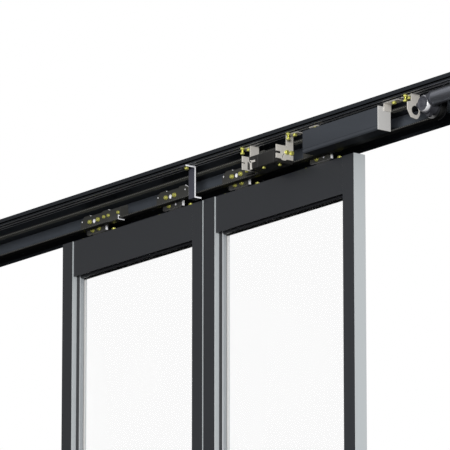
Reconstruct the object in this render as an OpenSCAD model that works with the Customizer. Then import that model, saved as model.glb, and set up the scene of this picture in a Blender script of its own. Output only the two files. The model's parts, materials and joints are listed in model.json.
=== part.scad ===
// Sliding door operator: header rail with toothed belt drive, lock, control unit
// and two glazed leaves that hang on roller carriages.
// Millimetres. X runs along the header, +Y points into the wall, Z is up.
// The origin is the middle of the header's wall face, above the leaves' meeting line.

/* [Door leaves] */
// Width of one leaf with its meeting seal
leaf_w = 800; // [740:10:1000]
// Height of one leaf
leaf_h = 2100; // [1900:10:2400]
// Thickness of a leaf, front to back
leaf_t = 49; // [46:1:56]
// Width of a stile's face
stile_w = 58; // [50:1:70]
// Height of the top and bottom rails
rail_h = 125; // [90:1:160]
// Wall of the hollow leaf profiles
profile_t = 3; // [2:0.5:4]
// Step from the stile face back to the rail face
rail_step = 5; // [2:1:8]
// Step from the stile face back to the glazing bead
bead_step = 19; // [15:1:21]
// Sight width of the glazing bead on the stiles
bead_w = 20; // [16:1:24]
// Sight height of the glazing bead on the rails
bead_h = 7; // [5:1:12]
// Thickness of the glass
glass_t = 8; // [6:1:10]
// Thickness of the lip behind the glass
rebate_t = 4.5; // [3:0.5:5]
// Width of the rubber strip on the meeting stile
seal_w = 4; // [3:0.5:8]
// How far an open leaf stays short of its own width
leaf_rest = 40; // [20:5:80]

/* [Header rail] */
// Depth of the header, wall to front lip
header_depth = 180; // [178:1:200]
// Height of the header
header_h = 100; // [98:1:115]
// Run of the header past an open leaf
header_overrun = 90; // [60:5:200]
// Thickness of the back wall and the track flange
web_t = 4; // [3:0.5:5]
// Skin of the top chamber
skin_t = 3; // [2:0.5:4]
// Height of the top chamber
chamber_h = 20; // [18:1:24]
// Height of the front lip that carries the cover
lip_h = 13; // [10:1:14]
// Depth of the cover groove under the front lip
lip_groove = 8; // [5:0.5:9]
// Reach of the track flange from the wall
track_reach = 79; // [74:1:84]
// Height of the toe below the track flange
toe_h = 8; // [6:1:12]
// Thickness of the toe
toe_t = 8; // [6:1:10]
// Radius of the running bead
bead_r = 4; // [3:0.5:5]
// Diameter of the wall screw holes
wall_hole_d = 9; // [7:0.5:11]

/* [T-slots] */
// Mouth of a T-slot
slot_mouth = 9; // [8.5:0.5:11]
// Width of a T-slot inside
slot_w = 15; // [14:0.5:17]
// Height of a T-slot inside
slot_h = 8; // [7:0.5:9]
// Thickness of the lips under a T-slot
slot_lip = 4; // [3:0.5:5]
// Spacing of the two T-slots
slot_pitch = 21; // [20:0.5:24]

/* [Roller carriages] */
// Carriage centre to the leaf's edge
carriage_inset = 182.5; // [160:2.5:220]
// Sideways place of all the carriages on their leaves
carriage_shift = -21; // [-25:1:10]
// Length of a hanger plate
hanger_len = 180; // [170:2:200]
// Thickness of a hanger plate
hanger_t = 10; // [8:0.5:12]
// Length of the hanger's tongue
tongue_len = 108; // [96:2:120]
// Outside diameter of a wheel
wheel_d = 37; // [35:0.5:40]
// Width of a wheel
wheel_w = 14; // [12:0.5:16]
// Spacing of the two wheels of a carriage
wheel_span = 108; // [104:2:116]
// Diameter of a guard roller under the track
guard_d = 34; // [28:1:36]
// Width of a guard roller
guard_w = 12; // [10:1:14]
// Thickness of the foot on the leaf
foot_t = 5; // [4:0.5:6]
// Length of the foot on the leaf
foot_len = 195; // [190:1:210]

/* [Belt drive] */
// Pitch of the belt's teeth
belt_pitch = 10; // [9.6:0.2:10.4]
// Width of the belt
belt_w = 25; // [20:1:27]
// Height of a belt tooth
tooth_h = 2.5; // [2:0.1:3]
// Thickness of the belt over its teeth
belt_back = 2; // [1.5:0.1:3]
// Teeth on a pulley
pulley_teeth = 22; // [20:1:23]
// Diameter of the pulley shafts
shaft_d = 12; // [10:1:14]
// Diameter of the motor can
motor_d = 50; // [46:1:56]
// Length of the motor can
motor_len = 197; // [150:1:210]
// Diameter of the gearbox cover
cover_d = 52; // [44:1:56]
// Motor axis above the pulley axis
worm_rise = 17; // [14:1:18]

/* [Lock and control unit] */
// Length of the control housing
control_len = 389; // [320:1:410]
// Height of the control housing
control_h = 77; // [68:1:84]
// Wall of the control housing
control_t = 2.5; // [2:0.5:4]
// Length of the lock housing
lock_len = 185; // [170:1:200]
// Height of the lock housing
lock_h = 47; // [44:1:50]
// Depth of the lock housing
lock_depth = 65; // [56:1:70]
// Stroke of the lock bolt
lock_stroke = 22; // [14:1:24]
// Thickness of the sheet metal brackets
sheet_t = 3; // [2.5:0.5:4]

/* [Hidden] */
$fn = 48;
// Clearances
air = 0.3;
run = 0.05;
hole_air = 0.3;
// Standard hex fasteners: shank, width across flats, head height, washer
m8 = [8, 13, 5.3, 16];
m6 = [6, 10, 4, 12];
washer_t = 1.6;
nut_h = 6.5;

// Heights of the header
z_top = header_h / 2;
z_bot = -z_top;
ceil_z = z_top - chamber_h;
rib_drop = 2;
rib_z = ceil_z - rib_drop;
flange_under_z = z_bot + toe_h;
flange_top_z = flange_under_z + web_t;
bead_top_z = flange_top_z + bead_r;

// Travel is a whole number of belt teeth, so the pulleys are in mesh at both ends
travel = belt_pitch * floor((leaf_w - leaf_rest) / belt_pitch);
header_len = 2 * (leaf_w + travel + header_overrun);

// Depths, counted forward from the wall
bead_y = -(track_reach - 2 * bead_r);
hanger_back_y = -(track_reach + 1);
hanger_front_y = hanger_back_y - hanger_t;
belt_gap = 10;
belt_back_y = hanger_front_y - belt_gap;
belt_front_y = belt_back_y - belt_w;
unit_gap = 3;
unit_back_y = belt_front_y - unit_gap;
header_front_y = -header_depth;
slot_a_y = header_front_y + 13.5;
slot_b_y = slot_a_y + slot_pitch;
leaf_overhang = 25;
leaf_front_y = hanger_front_y - leaf_overhang;
leaf_back_y = leaf_front_y + leaf_t;
control_front_y = header_front_y - 1;

// Wheels run on the bead with a small running gap
groove_depth = 2;
wheel_r = wheel_d / 2;
axle_z = bead_top_z + air + wheel_r - groove_depth;
axle_d = 8;
wheel_back_y = bead_y + wheel_w / 2;
wheel_front_y = bead_y - wheel_w / 2;
carrier_gap = 0.5;
carrier_t = 6;
carrier_half = hanger_len / 2 - 2;
carrier_h = 18;

// Hanger plate heights and bolt places
hanger_top_z = axle_z + 10.7;
land_h = 4;
clamp_z = bead_top_z + 6.5;
clamp_dx = [-35, 12];
sight_hole = [-12, 15];
end_hole_dx = [-82, 70];
end_hole_d = 5;
shoulder_z = flange_under_z - 4;
guard_gap = 1;
guard_z = flange_under_z - guard_gap - guard_d / 2;
guard_dx = 18;
tongue_bot_z = guard_z - 11;
foot_top_z = guard_z - guard_d / 2 - 5;
leaf_top_z = foot_top_z - foot_t;
leaf_bot_z = leaf_top_z - leaf_h;
foot_w = 30;
foot_y = hanger_front_y + 13;
foot_bolt_dx = foot_len / 2 - 12.5;
lug_t = 5;
lug_half = 32;
lug_front_y = hanger_back_y;
lug_back_y = lug_front_y + lug_t;

// Belt loop and pulleys
pitch_r = pulley_teeth * belt_pitch / (2 * PI);
cord_offset = 1;
pulley_r = pitch_r - cord_offset;
outer_r = pitch_r - cord_offset + belt_back;
flange_r = outer_r + 2;
flange_t = 1.5;
drive_z = rib_z - 53;
belt_low_z = drive_z - outer_r;
belt_high_z = drive_z + outer_r;
tooth_low_z = drive_z - pulley_r + tooth_h;
tooth_high_z = drive_z + pulley_r - tooth_h;

// Belt brackets stand on the hanger nearest the grip
grip_start = 45;
grip_len = 139;
grip_t = 6;
grip_front_y = hanger_front_y - grip_t;
grip_bolt_dx = [54, 80];
left_grip_x = carriage_xs(-1)[0] + grip_start;
right_grip_x = carriage_xs(1)[0] + grip_start;
tab_t = 4;
drive_gap = 73.5;
drive_x = right_grip_x + grip_len + travel + flange_r + drive_gap;
idler_reach = drive_x - (left_grip_x - travel - flange_r - drive_gap);
idler_x = drive_x - belt_pitch * ceil(idler_reach / belt_pitch);

// Units along the header
lock_x = right_grip_x + grip_len - 28.5;
lock_neck = 32;
lock_top_z = rib_z - 49;
lock_bot_z = lock_top_z - lock_h;
lock_front_y = unit_back_y - lock_depth;
lock_bolt_r = 5;
lock_bolt_x = right_grip_x + grip_len + 7 + lock_bolt_r;
lock_bolt_z = lock_top_z - 11;
lever_pin = 5;
lever_x = lock_x + lock_neck + 11.5;
lever_z = lock_top_z - 20.5;
// Screws through the right bracket and under the housing, from the lock's left, front and top
side_screw_y = [slot_b_y - 10.5, unit_back_y - 8];
side_screw_z = lock_top_z - 11;
base_screw = [[97.5, 10.7], [159, 28.4]];
base_screw_len = 10;
control_gap = 115;
control_x = lock_x + lock_len + control_gap;
control_top_z = rib_z - 14;
control_bot_z = control_top_z - control_h;
bracket_wing = 60;
wing_bolt = 32;
strap_w = 40;
strap_mid = 25;
angle_len = 70;
angle_bolt = 39;
gearbox_x = drive_x - 64;
gearbox_len = 100;
gearbox_front_y = unit_back_y - 30;
cover_t = 14;
cover_z = drive_z + 5;
case_d = cover_d + 10;
nose_d = 16;
motor_y = unit_back_y - motor_d / 2;
motor_z = drive_z + worm_rise;
motor_x = gearbox_x + gearbox_len;
stud_x = [lock_x - 37.5, lock_x + lock_len + 21.5, gearbox_x - 27];
centre_x = -42;
centre_w = 33;
centre_t = 5;
centre_y = unit_back_y - 12;
stop_x = leaf_w - carriage_inset + carrier_half + travel + air;
buffer_len = 12;
stop_len = 28;
carrier_y = wheel_back_y + carrier_gap + carrier_t / 2;
wall_hole_z = -14;
wall_hole_inset = 80;
wall_hole_x = [440, 1100, header_len / 2 - wall_hole_inset];

// Carriage centres of a leaf, from left to right; side is -1 for the left leaf and 1 for the right
function carriage_xs(side) = side < 0
    ? [carriage_shift - leaf_w + carriage_inset, carriage_shift - carriage_inset]
    : [carriage_shift + carriage_inset, carriage_shift + leaf_w - carriage_inset];
function wheel_x(side, i) = carriage_xs(side)[floor(i / 2)] + (i % 2 == 0 ? -1 : 1) * wheel_span / 2;
function leaf_x(side) = side < 0 ? -leaf_w : 0;

// A profile drawn in Y and Z, carried along X from x for a length
module along_x(x, length) {
    translate([x, 0, 0]) rotate([90, 0, 90]) linear_extrude(length) children();
}

// A profile drawn in X and Z, carried forward from y for a thickness
module forward_from(y, thickness) {
    translate([0, y, 0]) rotate([90, 0, 0]) linear_extrude(thickness) children();
}

// A rectangle given by its two corners
module span(a, b) {
    translate([min(a[0], b[0]), min(a[1], b[1])]) square([abs(b[0] - a[0]), abs(b[1] - a[1])]);
}

// A block given by its two corners
module block(a, b) {
    translate([for (i = [0:2]) min(a[i], b[i])]) cube([for (i = [0:2]) abs(b[i] - a[i])]);
}

// A round bar or hole along Y, from y0 to y1
module rod_y(x, y0, y1, z, d) {
    translate([x, max(y0, y1), z]) rotate([90, 0, 0]) cylinder(d = d, h = abs(y1 - y0));
}

// A round bar or hole along Z, from z0 to z1
module rod_z(x, y, z0, z1, d) {
    translate([x, y, min(z0, z1)]) cylinder(d = d, h = abs(z1 - z0));
}

// Hex bolt along +Z from its seat at the origin: head and washer below, shank above
module hex_bolt(size, shank) {
    cylinder(d = size[0], h = shank);
    translate([0, 0, -washer_t]) cylinder(d = size[3], h = washer_t);
    translate([0, 0, -washer_t - size[2]]) cylinder(d = size[1] / cos(30), h = size[2], $fn = 6);
}

// Hex bolt seated on a face that looks forward
module bolt_front(x, y, z, size, shank) {
    translate([x, y, z]) rotate([-90, 0, 0]) hex_bolt(size, shank);
}

// Hex bolt seated on a face that looks up
module bolt_down(x, y, z, size, shank) {
    translate([x, y, z]) rotate([180, 0, 0]) hex_bolt(size, shank);
}

// Hex bolt seated on a face that looks down, with a T-nut in the slot above
module slot_bolt(x, y, grip) {
    nut_z = grip + slot_lip;
    translate([x, y, rib_z - grip]) {
        hex_bolt(m8, nut_z + nut_h);
        translate([-slot_w / 2, -slot_w / 2 + air, nut_z]) cube([slot_w, slot_w - 2 * air, nut_h]);
    }
}

// Threaded stud with two nuts that hangs free below the front slot
module slot_stud(x) {
    hang = 23;
    translate([x, slot_a_y, rib_z]) {
        translate([0, 0, -hang]) cylinder(d = m8[0], h = hang + slot_lip + nut_h);
        translate([-slot_w / 2, -slot_w / 2 + air, slot_lip])
            cube([slot_w, slot_w - 2 * air, nut_h]);
        for (z = [-hang, -nut_h])
            translate([0, 0, z]) cylinder(d = m8[1] / cos(30), h = nut_h, $fn = 6);
    }
}

// Section of the header: top chamber with two T-slots and the cover lip, back wall, track and toe
module header_section() {
    chamber_front = slot_b_y + slot_w / 2 + skin_t;
    chamber_count = 3;
    chamber_step = (-web_t - chamber_front + skin_t) / chamber_count;
    groove_z = z_top - lip_h;
    difference() {
        union() {
            span([header_front_y, ceil_z], [0, z_top]);
            span([header_front_y + 1, rib_z], [chamber_front, ceil_z]);
            span([-web_t, z_bot], [0, z_top]);
            span([-track_reach, flange_under_z], [0, flange_top_z]);
            span([-toe_t, z_bot], [0, flange_top_z]);
            translate([bead_y, flange_top_z]) circle(bead_r);
        }
        for (y = [slot_a_y, slot_b_y]) {
            span([y - slot_mouth / 2, rib_z - 1], [y + slot_mouth / 2, rib_z + slot_lip]);
            span([y - slot_w / 2, rib_z + slot_lip], [y + slot_w / 2, rib_z + slot_lip + slot_h]);
        }
        for (i = [0 : chamber_count - 1])
            span([chamber_front + i * chamber_step, ceil_z + skin_t],
                [chamber_front + (i + 1) * chamber_step - skin_t, z_top - skin_t]);
        // cover groove, open to the front
        span([header_front_y - 1, rib_z + slot_lip - 0.5],
            [header_front_y + lip_groove - skin_t, groove_z]);
        // shadow line along the toe
        span([-toe_t - 1, z_bot + 3], [-toe_t + 1.5, z_bot + 5]);
    }
}

module header_rail() {
    color("#3a3d42") difference() {
        along_x(-header_len / 2, header_len) header_section();
        for (x = wall_hole_x, s = [-1, 1]) rod_y(s * x, -web_t - 1, 1, wall_hole_z, wall_hole_d);
    }
}

// Trapezoid teeth along a strand from x0 to x1; sign is 1 where the teeth point up
function strand(x0, x1, root_z, sign) =
    let (n = round(abs(x1 - x0) / belt_pitch), step = (x1 - x0) / n, land = 0.33, flank = 0.13)
    [for (i = [0 : n - 1]) for (p = [[0.5 - land / 2 - flank, 0], [0.5 - land / 2, 1],
            [0.5 + land / 2, 1], [0.5 + land / 2 + flank, 0]])
        [x0 + step * (i + p[0]), root_z + sign * p[1] * tooth_h]];
// Teeth round a pulley from angle a0 to a1, pointing inwards from the root radius
function wrap(cx, a0, a1) =
    let (n = pulley_teeth / 2, step = (a1 - a0) / n, land = 0.33, flank = 0.13)
    [for (i = [0 : n - 1]) for (p = [[0.5 - land / 2 - flank, 0], [0.5 - land / 2, 1],
            [0.5 + land / 2, 1], [0.5 + land / 2 + flank, 0]])
        let (a = a0 + step * (i + p[0]), r = pulley_r - p[1] * tooth_h)
        [cx + r * cos(a), drive_z + r * sin(a)]];

module toothed_belt() {
    color("#2b2b29") forward_from(belt_back_y, belt_w) difference() {
        union() {
            span([idler_x, belt_low_z], [drive_x, belt_high_z]);
            for (x = [idler_x, drive_x]) translate([x, drive_z]) circle(outer_r);
        }
        polygon(concat(
            strand(idler_x, drive_x, drive_z - pulley_r, 1), wrap(drive_x, -90, 90),
            strand(drive_x, idler_x, drive_z + pulley_r, -1), wrap(idler_x, 90, 270)));
    }
}

// Pulley body with one groove for each belt tooth, a flange on each side and a bored hub
module pulley(x, bore) {
    land = 0.33;
    flank = 0.13;
    deep = tooth_h + 0.4;
    spare = 0.04;
    outline = [for (i = [0 : pulley_teeth - 1]) for (p = [[0.5 - land / 2 - flank - spare, 0],
            [0.5 - land / 2 - spare, 1], [0.5 + land / 2 + spare, 1], [0.5 + land / 2 + flank + spare, 0]])
        let (a = -90 + 360 / pulley_teeth * (i + p[0]), r = pulley_r - air - p[1] * deep)
        [r * cos(a), r * sin(a)]];
    rim = belt_back_y + air;
    color("#8b8d90") translate([x, 0, drive_z]) difference() {
        union() {
            forward_from(rim, belt_w + 2 * air) polygon(outline);
            for (y = [rim + flange_t, belt_front_y - air]) rod_y(0, y, y - flange_t, 0, 2 * flange_r);
        }
        rod_y(0, rim + flange_t + 1, belt_front_y - flange_t - 1, 0, bore);
        // turned recess in the rear face
        difference() {
            rod_y(0, rim + flange_t + 1, rim - 6, 0, 2 * pulley_r - 16);
            rod_y(0, rim + flange_t + 1, rim - 7, 0, shaft_d + 12);
        }
    }
}

module drive_pulley() { pulley(drive_x, shaft_d); }
module idler_pulley() { pulley(idler_x, shaft_d + 2 * run); }

// Output shaft: from inside the gearbox to the pulley's rear face
module output_shaft() {
    color("#b9bcbf") rod_y(drive_x, belt_back_y + air + flange_t, unit_back_y - 24, drive_z, shaft_d);
}

// Worm gearbox: a round case for the wheel, a tube for the worm and a flange for the motor
module gearbox() {
    flange = 6;
    case_low = cover_z - case_d / 2;
    color("#4b4d52") difference() {
        union() {
            rod_y(drive_x, unit_back_y, gearbox_front_y, cover_z, case_d);
            translate([drive_x - 6, motor_y, motor_z]) rotate([0, 90, 0])
                cylinder(d = motor_d - 8, h = motor_x - drive_x + 6);
            // nose against the bracket
            translate([gearbox_x, unit_back_y - nose_d / 2 - 1, motor_z]) rotate([0, 90, 0])
                cylinder(d = nose_d, h = drive_x - gearbox_x);
            translate([motor_x - flange, motor_y, motor_z]) rotate([0, 90, 0])
                cylinder(d = motor_d, h = flange);
            // screw bosses on the neck
            for (dx = [5, 17]) rod_z(motor_x - dx, motor_y, motor_z, motor_z + motor_d / 2 + 1, 9);
            // foot lug below the case
            forward_from(unit_back_y - 10, 12) polygon([[drive_x - 16, case_low + 9],
                [drive_x - 4, case_low - 9], [drive_x + 6, case_low - 9], [drive_x + 16, case_low + 9]]);
        }
        rod_y(drive_x, unit_back_y + 1, unit_back_y - 24 - air, drive_z, shaft_d + 2 * run);
        // seat of the round cover
        rod_y(drive_x, gearbox_front_y, gearbox_front_y - motor_d, cover_z, cover_d + 2 * air);
    }
}

// Round cover on the front of the case, with a raised rim
module gearbox_cover() {
    color("#5a5b61") translate([drive_x, gearbox_front_y, cover_z]) rotate([90, 0, 0]) difference() {
        rotate_extrude() polygon([[0, 0], [cover_d / 2, 0], [cover_d / 2, cover_t - 2],
            [cover_d / 2 - 1.5, cover_t], [cover_d / 2 - 6, cover_t], [cover_d / 2 - 8, cover_t - 2],
            [10, cover_t - 2], [8, cover_t - 0.5], [0, cover_t - 0.5]]);
        for (a = [45 : 90 : 315]) rotate(a) translate([cover_d / 2 - 12, 0, cover_t - 4])
            cylinder(d = 4, h = 5);
    }
}

module drive_motor() {
    r = motor_d / 2;
    color("#7b7d83") translate([motor_x, motor_y, motor_z]) rotate([0, 90, 0])
        rotate_extrude() polygon([[0, 0], [r - 3, 0], [r - 3, 5], [r, 8], [r, motor_len - 14],
            [r - 1, motor_len - 13], [r - 1, motor_len - 11], [r, motor_len - 10], [r, motor_len],
            [0, motor_len]]);
}

// Stepped cap with a vent ring and brush-holder bosses
module motor_end_cap() {
    cap_len = 14;
    color("#2f3033") translate([motor_x + motor_len, motor_y, motor_z]) rotate([0, 90, 0]) {
        difference() {
            rotate_extrude() polygon([[0, 0], [motor_d / 2 - 1, 0], [motor_d / 2 - 1, cap_len - 4],
                [motor_d / 2 - 5, cap_len], [9, cap_len], [9, cap_len + 3], [0, cap_len + 3]]);
            for (a = [0 : 45 : 315]) rotate(a) translate([motor_d / 2 - 10, 0, cap_len - 3])
                cylinder(d = 5, h = 4);
        }
    }
}

// Sheet bracket under the T-slots: a plate across the header and a wing along it.
// outline is drawn in Y and Z; wing_dir is the way the wing points along X.
module wing_bracket(x, outline_pts, wing_dir, wing_y) {
    difference() {
        union() {
            along_x(x, sheet_t) polygon(outline_pts);
            block([x + (wing_dir > 0 ? 0 : sheet_t), wing_y[0], rib_z],
                [x + (wing_dir > 0 ? bracket_wing : sheet_t - bracket_wing), wing_y[1], rib_z - sheet_t]);
        }
        rod_z(x + sheet_t / 2 + wing_dir * wing_bolt, slot_b_y, rib_z + 1, rib_z - sheet_t - 1,
            m8[0] + 2 * hole_air);
        children();
    }
}

module motor_bracket() {
    front = header_front_y;
    arm = slot_b_y - 18.5;
    color("#c3beb7") wing_bracket(gearbox_x - sheet_t, [[unit_back_y, rib_z], [arm, rib_z],
        [arm, drive_z + 29], [front, drive_z + 23], [front, drive_z - 1], [front + 15, drive_z - 26],
        [front + 36, drive_z - 30], [front + 43, drive_z - 27], [unit_back_y, drive_z - 14]],
        -1, [slot_b_y - 12, unit_back_y])
        // round clearance for the tail of the worm
        along_x(gearbox_x - 2 * sheet_t, 3 * sheet_t)
            translate([unit_back_y - 19, drive_z - 1]) circle(15.5);
}

module idler_bracket() {
    half = 30;
    low = drive_z - 22;
    plate_y = belt_front_y - flange_t - 2 * air;
    color("#c3beb7") difference() {
        union() {
            forward_from(plate_y, sheet_t + 1) polygon([[idler_x - half, rib_z],
                [idler_x - half, drive_z], [idler_x - 14, low], [idler_x + 14, low],
                [idler_x + half, drive_z], [idler_x + half, rib_z]]);
            block([idler_x - half, plate_y, rib_z], [idler_x + half, slot_a_y - 10, rib_z - sheet_t]);
            // riveted axle with a head in front
            rod_y(idler_x, belt_back_y + air + flange_t, plate_y, drive_z, shaft_d);
            rod_y(idler_x, plate_y, plate_y - sheet_t - 4, drive_z, shaft_d + 6);
        }
        for (dx = [-16, 16], y = [slot_a_y, slot_b_y])
            rod_z(idler_x + dx, y, rib_z + 1, rib_z - sheet_t - 1, m8[0] + 2 * hole_air);
    }
}

module lock_housing() {
    chamfer = 3;
    split = 0.8;
    color("#2a2927") difference() {
        union() {
            along_x(lock_x + lock_neck, lock_len - lock_neck - sheet_t) polygon([
                [unit_back_y, lock_bot_z], [lock_front_y + chamfer, lock_bot_z],
                [lock_front_y, lock_bot_z + chamfer], [lock_front_y, lock_top_z - chamfer],
                [lock_front_y + chamfer, lock_top_z], [unit_back_y, lock_top_z]]);
            // neck to the left bracket
            block([lock_x + sheet_t, unit_back_y, lock_top_z - 10],
                [lock_x + lock_neck, lock_front_y + 16, lock_bot_z + 12]);
            // coil cover on top
            along_x(lock_x + lock_len * 0.42, lock_len * 0.4) polygon([
                [unit_back_y - 6, lock_top_z], [lock_front_y + 14, lock_top_z],
                [lock_front_y + 17, lock_top_z + 7], [unit_back_y - 9, lock_top_z + 7]]);
            // pivot of the release lever
            rod_y(lever_x, lock_front_y, lock_front_y - 6, lever_z, lever_pin);
        }
        rod_y(lock_bolt_x, unit_back_y + 1, unit_back_y - lock_stroke - 12, lock_bolt_z,
            2 * lock_bolt_r + 2 * run);
        // joint between the housing and its cover
        for (x = [lock_x + lock_neck + 46, lock_x + lock_len - 24])
            block([x, lock_front_y - 1, lock_bot_z - 1], [x + split, lock_front_y + split, lock_top_z + 1]);
        at_side_screws() cylinder(d = m8[0] + 2 * hole_air, h = 20);
        at_base_screws() cylinder(d = m6[0] + 2 * hole_air, h = base_screw_len + 1);
    }
}

// Places of the lock's screws, with the shank along +Z from its seat
module at_side_screws() {
    for (y = side_screw_y) translate([lock_x + lock_len, y, side_screw_z]) rotate([0, -90, 0]) children();
}
module at_base_screws() {
    for (p = base_screw) translate([lock_x + p[0], lock_front_y + p[1], lock_bot_z]) children();
}

module lock_screws() {
    color("#c2c24a") {
        at_side_screws() hex_bolt(m8, 16);
        at_base_screws() hex_bolt(m6, base_screw_len);
    }
}

// Round bolt with a chamfered nose, flush with the housing's rear at rest
module lock_bolt() {
    length = lock_stroke + 10;
    color("#b9bcbf") translate([lock_bolt_x, unit_back_y - length, lock_bolt_z]) rotate([-90, 0, 0])
        rotate_extrude() polygon([[0, 0], [lock_bolt_r, 0], [lock_bolt_r, length - 2],
            [lock_bolt_r - 2, length], [0, length]]);
}

// Release lever on the lock's front: a hub, a short bar to the right and a stem with a foot
module release_lever() {
    t = 3;
    y = lock_front_y - air;
    low = lock_bot_z - lever_z;
    color("#c9c6c0") difference() {
        translate([lever_x, 0, lever_z]) forward_from(y, t) union() {
            circle(lever_pin / 2 + 3.5);
            span([-8.5, -3.5], [21.5, 3.5]);
            span([-3.5, low], [3.5, 0]);
            span([-3.5, low], [6, low + 5]);
        }
        rod_y(lever_x, y + 1, y - t - 1, lever_z, lever_pin + 2 * run);
    }
}

// Left lock bracket: a low strip in front with a slit, and an arm at the rear up to the T-slots
module lock_bracket_left() {
    front = lock_front_y - 6;
    arm = slot_b_y - 19.5;
    color("#c3beb7") wing_bracket(lock_x, [[unit_back_y, lock_bot_z + 10], [unit_back_y, rib_z],
        [arm, rib_z], [arm, lock_top_z + 8], [front, lock_top_z + 8], [front, lock_top_z - 13.5],
        [front + 14, lock_top_z - 13.5], [front + 14, lock_top_z - 16.5], [front, lock_top_z - 16.5],
        [front, lock_bot_z + 8], [arm, lock_bot_z + 8]], -1, [slot_b_y - 12, unit_back_y]);
}

// Right lock bracket: a plate with a slot from the front edge, a curved slot and a rounded foot
module lock_bracket_right() {
    f = lock_front_y;
    front = f - 7;
    foot = lock_bot_z + 12;
    color("#c3beb7") wing_bracket(lock_x + lock_len - sheet_t, [[unit_back_y, foot],
        [unit_back_y, rib_z], [slot_b_y - 12, rib_z], [slot_b_y - 12, lock_top_z + 11],
        [front, lock_top_z + 11], [front, lock_top_z - 11], [f + 13, lock_top_z - 11],
        [f + 13, lock_top_z - 18.5], [front, lock_top_z - 18.5], [front, foot], [f + 13, foot],
        [f + 19, foot - 4], [f + 26, foot - 5], [f + 33, foot - 4], [f + 38, foot]],
        1, [slot_b_y - 12, unit_back_y]) {
        along_x(lock_x + lock_len - sheet_t - 1, sheet_t + 2) polygon([[f + 26, lock_top_z - 15],
            [f + 29, lock_top_z - 15], [f + 24, lock_top_z - 24], [f + 21, lock_top_z - 33],
            [f + 18, lock_top_z - 33], [f + 20.5, lock_top_z - 24]]);
        at_side_screws() translate([0, 0, -1]) cylinder(d = m8[0] + 2 * hole_air, h = sheet_t + 2);
    }
}

module control_section() {
    c = 4;
    polygon([[unit_back_y, control_bot_z], [control_front_y + c, control_bot_z],
        [control_front_y, control_bot_z + c], [control_front_y, control_top_z - c],
        [control_front_y + c, control_top_z], [unit_back_y, control_top_z]]);
}

module control_housing() {
    color("#45484d") along_x(control_x, control_len - sheet_t) difference() {
        control_section();
        span([unit_back_y - control_t, control_bot_z + control_t],
            [control_front_y + 2 * control_t, control_top_z - control_t]);
        // shadow groove along the front
        span([control_front_y - 1, control_bot_z + 12], [control_front_y + 1, control_bot_z + 13.5]);
    }
}

// Right end plate, taller behind, with a notch at the top front; the left one is let into the housing
module control_end_plates() {
    notch_y = control_front_y + 24;
    color("#c4c3c1") {
        along_x(control_x + sheet_t, sheet_t) span([unit_back_y - control_t, control_bot_z + control_t],
            [control_front_y + 2 * control_t, control_top_z - control_t]);
        along_x(control_x + control_len - sheet_t, sheet_t) polygon([[unit_back_y, control_bot_z],
            [control_front_y, control_bot_z], [control_front_y, control_top_z + 2],
            [notch_y, control_top_z + 2], [notch_y, rib_z], [unit_back_y, rib_z]]);
    }
}

// Fixings of the control housing: a C-shaped strap at the left and an angle at the right end plate
module control_hangers() {
    reach = slot_b_y - 12;
    web_y = unit_back_y - 2;
    strap_x = control_x + strap_mid;
    end_x = control_x + control_len;
    color("#c3beb7") difference() {
        union() {
            along_x(strap_x - strap_w / 2, strap_w) polygon([[reach, rib_z], [web_y, rib_z],
                [web_y, control_top_z], [reach, control_top_z], [reach, control_top_z + sheet_t],
                [web_y - sheet_t, control_top_z + sheet_t], [web_y - sheet_t, rib_z - sheet_t],
                [reach, rib_z - sheet_t]]);
            block([end_x, reach, rib_z], [end_x + angle_len, unit_back_y, rib_z - sheet_t]);
            block([end_x, reach, rib_z], [end_x + sheet_t, unit_back_y, control_top_z - 12]);
        }
        for (x = [strap_x, end_x + angle_bolt])
            rod_z(x, slot_b_y, rib_z + 1, rib_z - sheet_t - 1, m8[0] + 2 * hole_air);
    }
}

// Bent strap at mid door: top flange forward to the front slot, bottom flange back over the leaves
module centre_bracket() {
    front = header_front_y - 3;
    bottom_z = leaf_top_z + 6;
    foot_back = centre_y + 24;
    color("#41424c") difference() {
        along_x(centre_x, centre_w) polygon([[front, rib_z], [centre_y, rib_z],
            [centre_y, bottom_z + centre_t], [foot_back, bottom_z + centre_t], [foot_back, bottom_z],
            [centre_y - centre_t, bottom_z], [centre_y - centre_t, rib_z - centre_t],
            [front, rib_z - centre_t]]);
        rod_z(centre_x + centre_w / 2, slot_a_y, rib_z + 1, rib_z - centre_t - 1, m8[0] + 2 * hole_air);
    }
}

module slot_bolts() {
    mids = [centre_x + centre_w / 2, lock_x + sheet_t / 2 - wing_bolt,
        lock_x + lock_len - sheet_t / 2 + wing_bolt, gearbox_x - sheet_t / 2 - wing_bolt,
        control_x + strap_mid, control_x + control_len + angle_bolt];
    color("#c2c24a") {
        slot_bolt(mids[0], slot_a_y, centre_t);
        for (i = [1 : 5]) slot_bolt(mids[i], slot_b_y, sheet_t);
        for (dx = [-16, 16], y = [slot_a_y, slot_b_y]) slot_bolt(idler_x + dx, y, sheet_t);
        for (x = stud_x) slot_stud(x);
    }
}

// Stop blocks on the track flange behind the bead
module end_stops() {
    color("#4b4b48") for (s = [-1, 1]) translate([carriage_shift, 0, 0]) scale([s, 1, 1]) difference() {
        along_x(stop_x + buffer_len, stop_len) polygon([[carrier_y - 5, flange_top_z],
            [carrier_y + 15, flange_top_z], [carrier_y + 15, axle_z + 2], [carrier_y + 7, axle_z + 10],
            [carrier_y - 5, axle_z + 10]]);
        rod_z(stop_x + buffer_len + stop_len / 2, carrier_y + 2, axle_z - 6, axle_z + 11, 9);
    }
}

module stop_buffers() {
    color("#1d1d1d") for (s = [-1, 1]) translate([carriage_shift, 0, 0]) scale([s, 1, 1])
        translate([stop_x, carrier_y, axle_z]) rotate([0, 90, 0])
            rotate_extrude() polygon([[0, 0], [5, 0], [8, 3], [8, buffer_len], [0, buffer_len]]);
}

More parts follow.
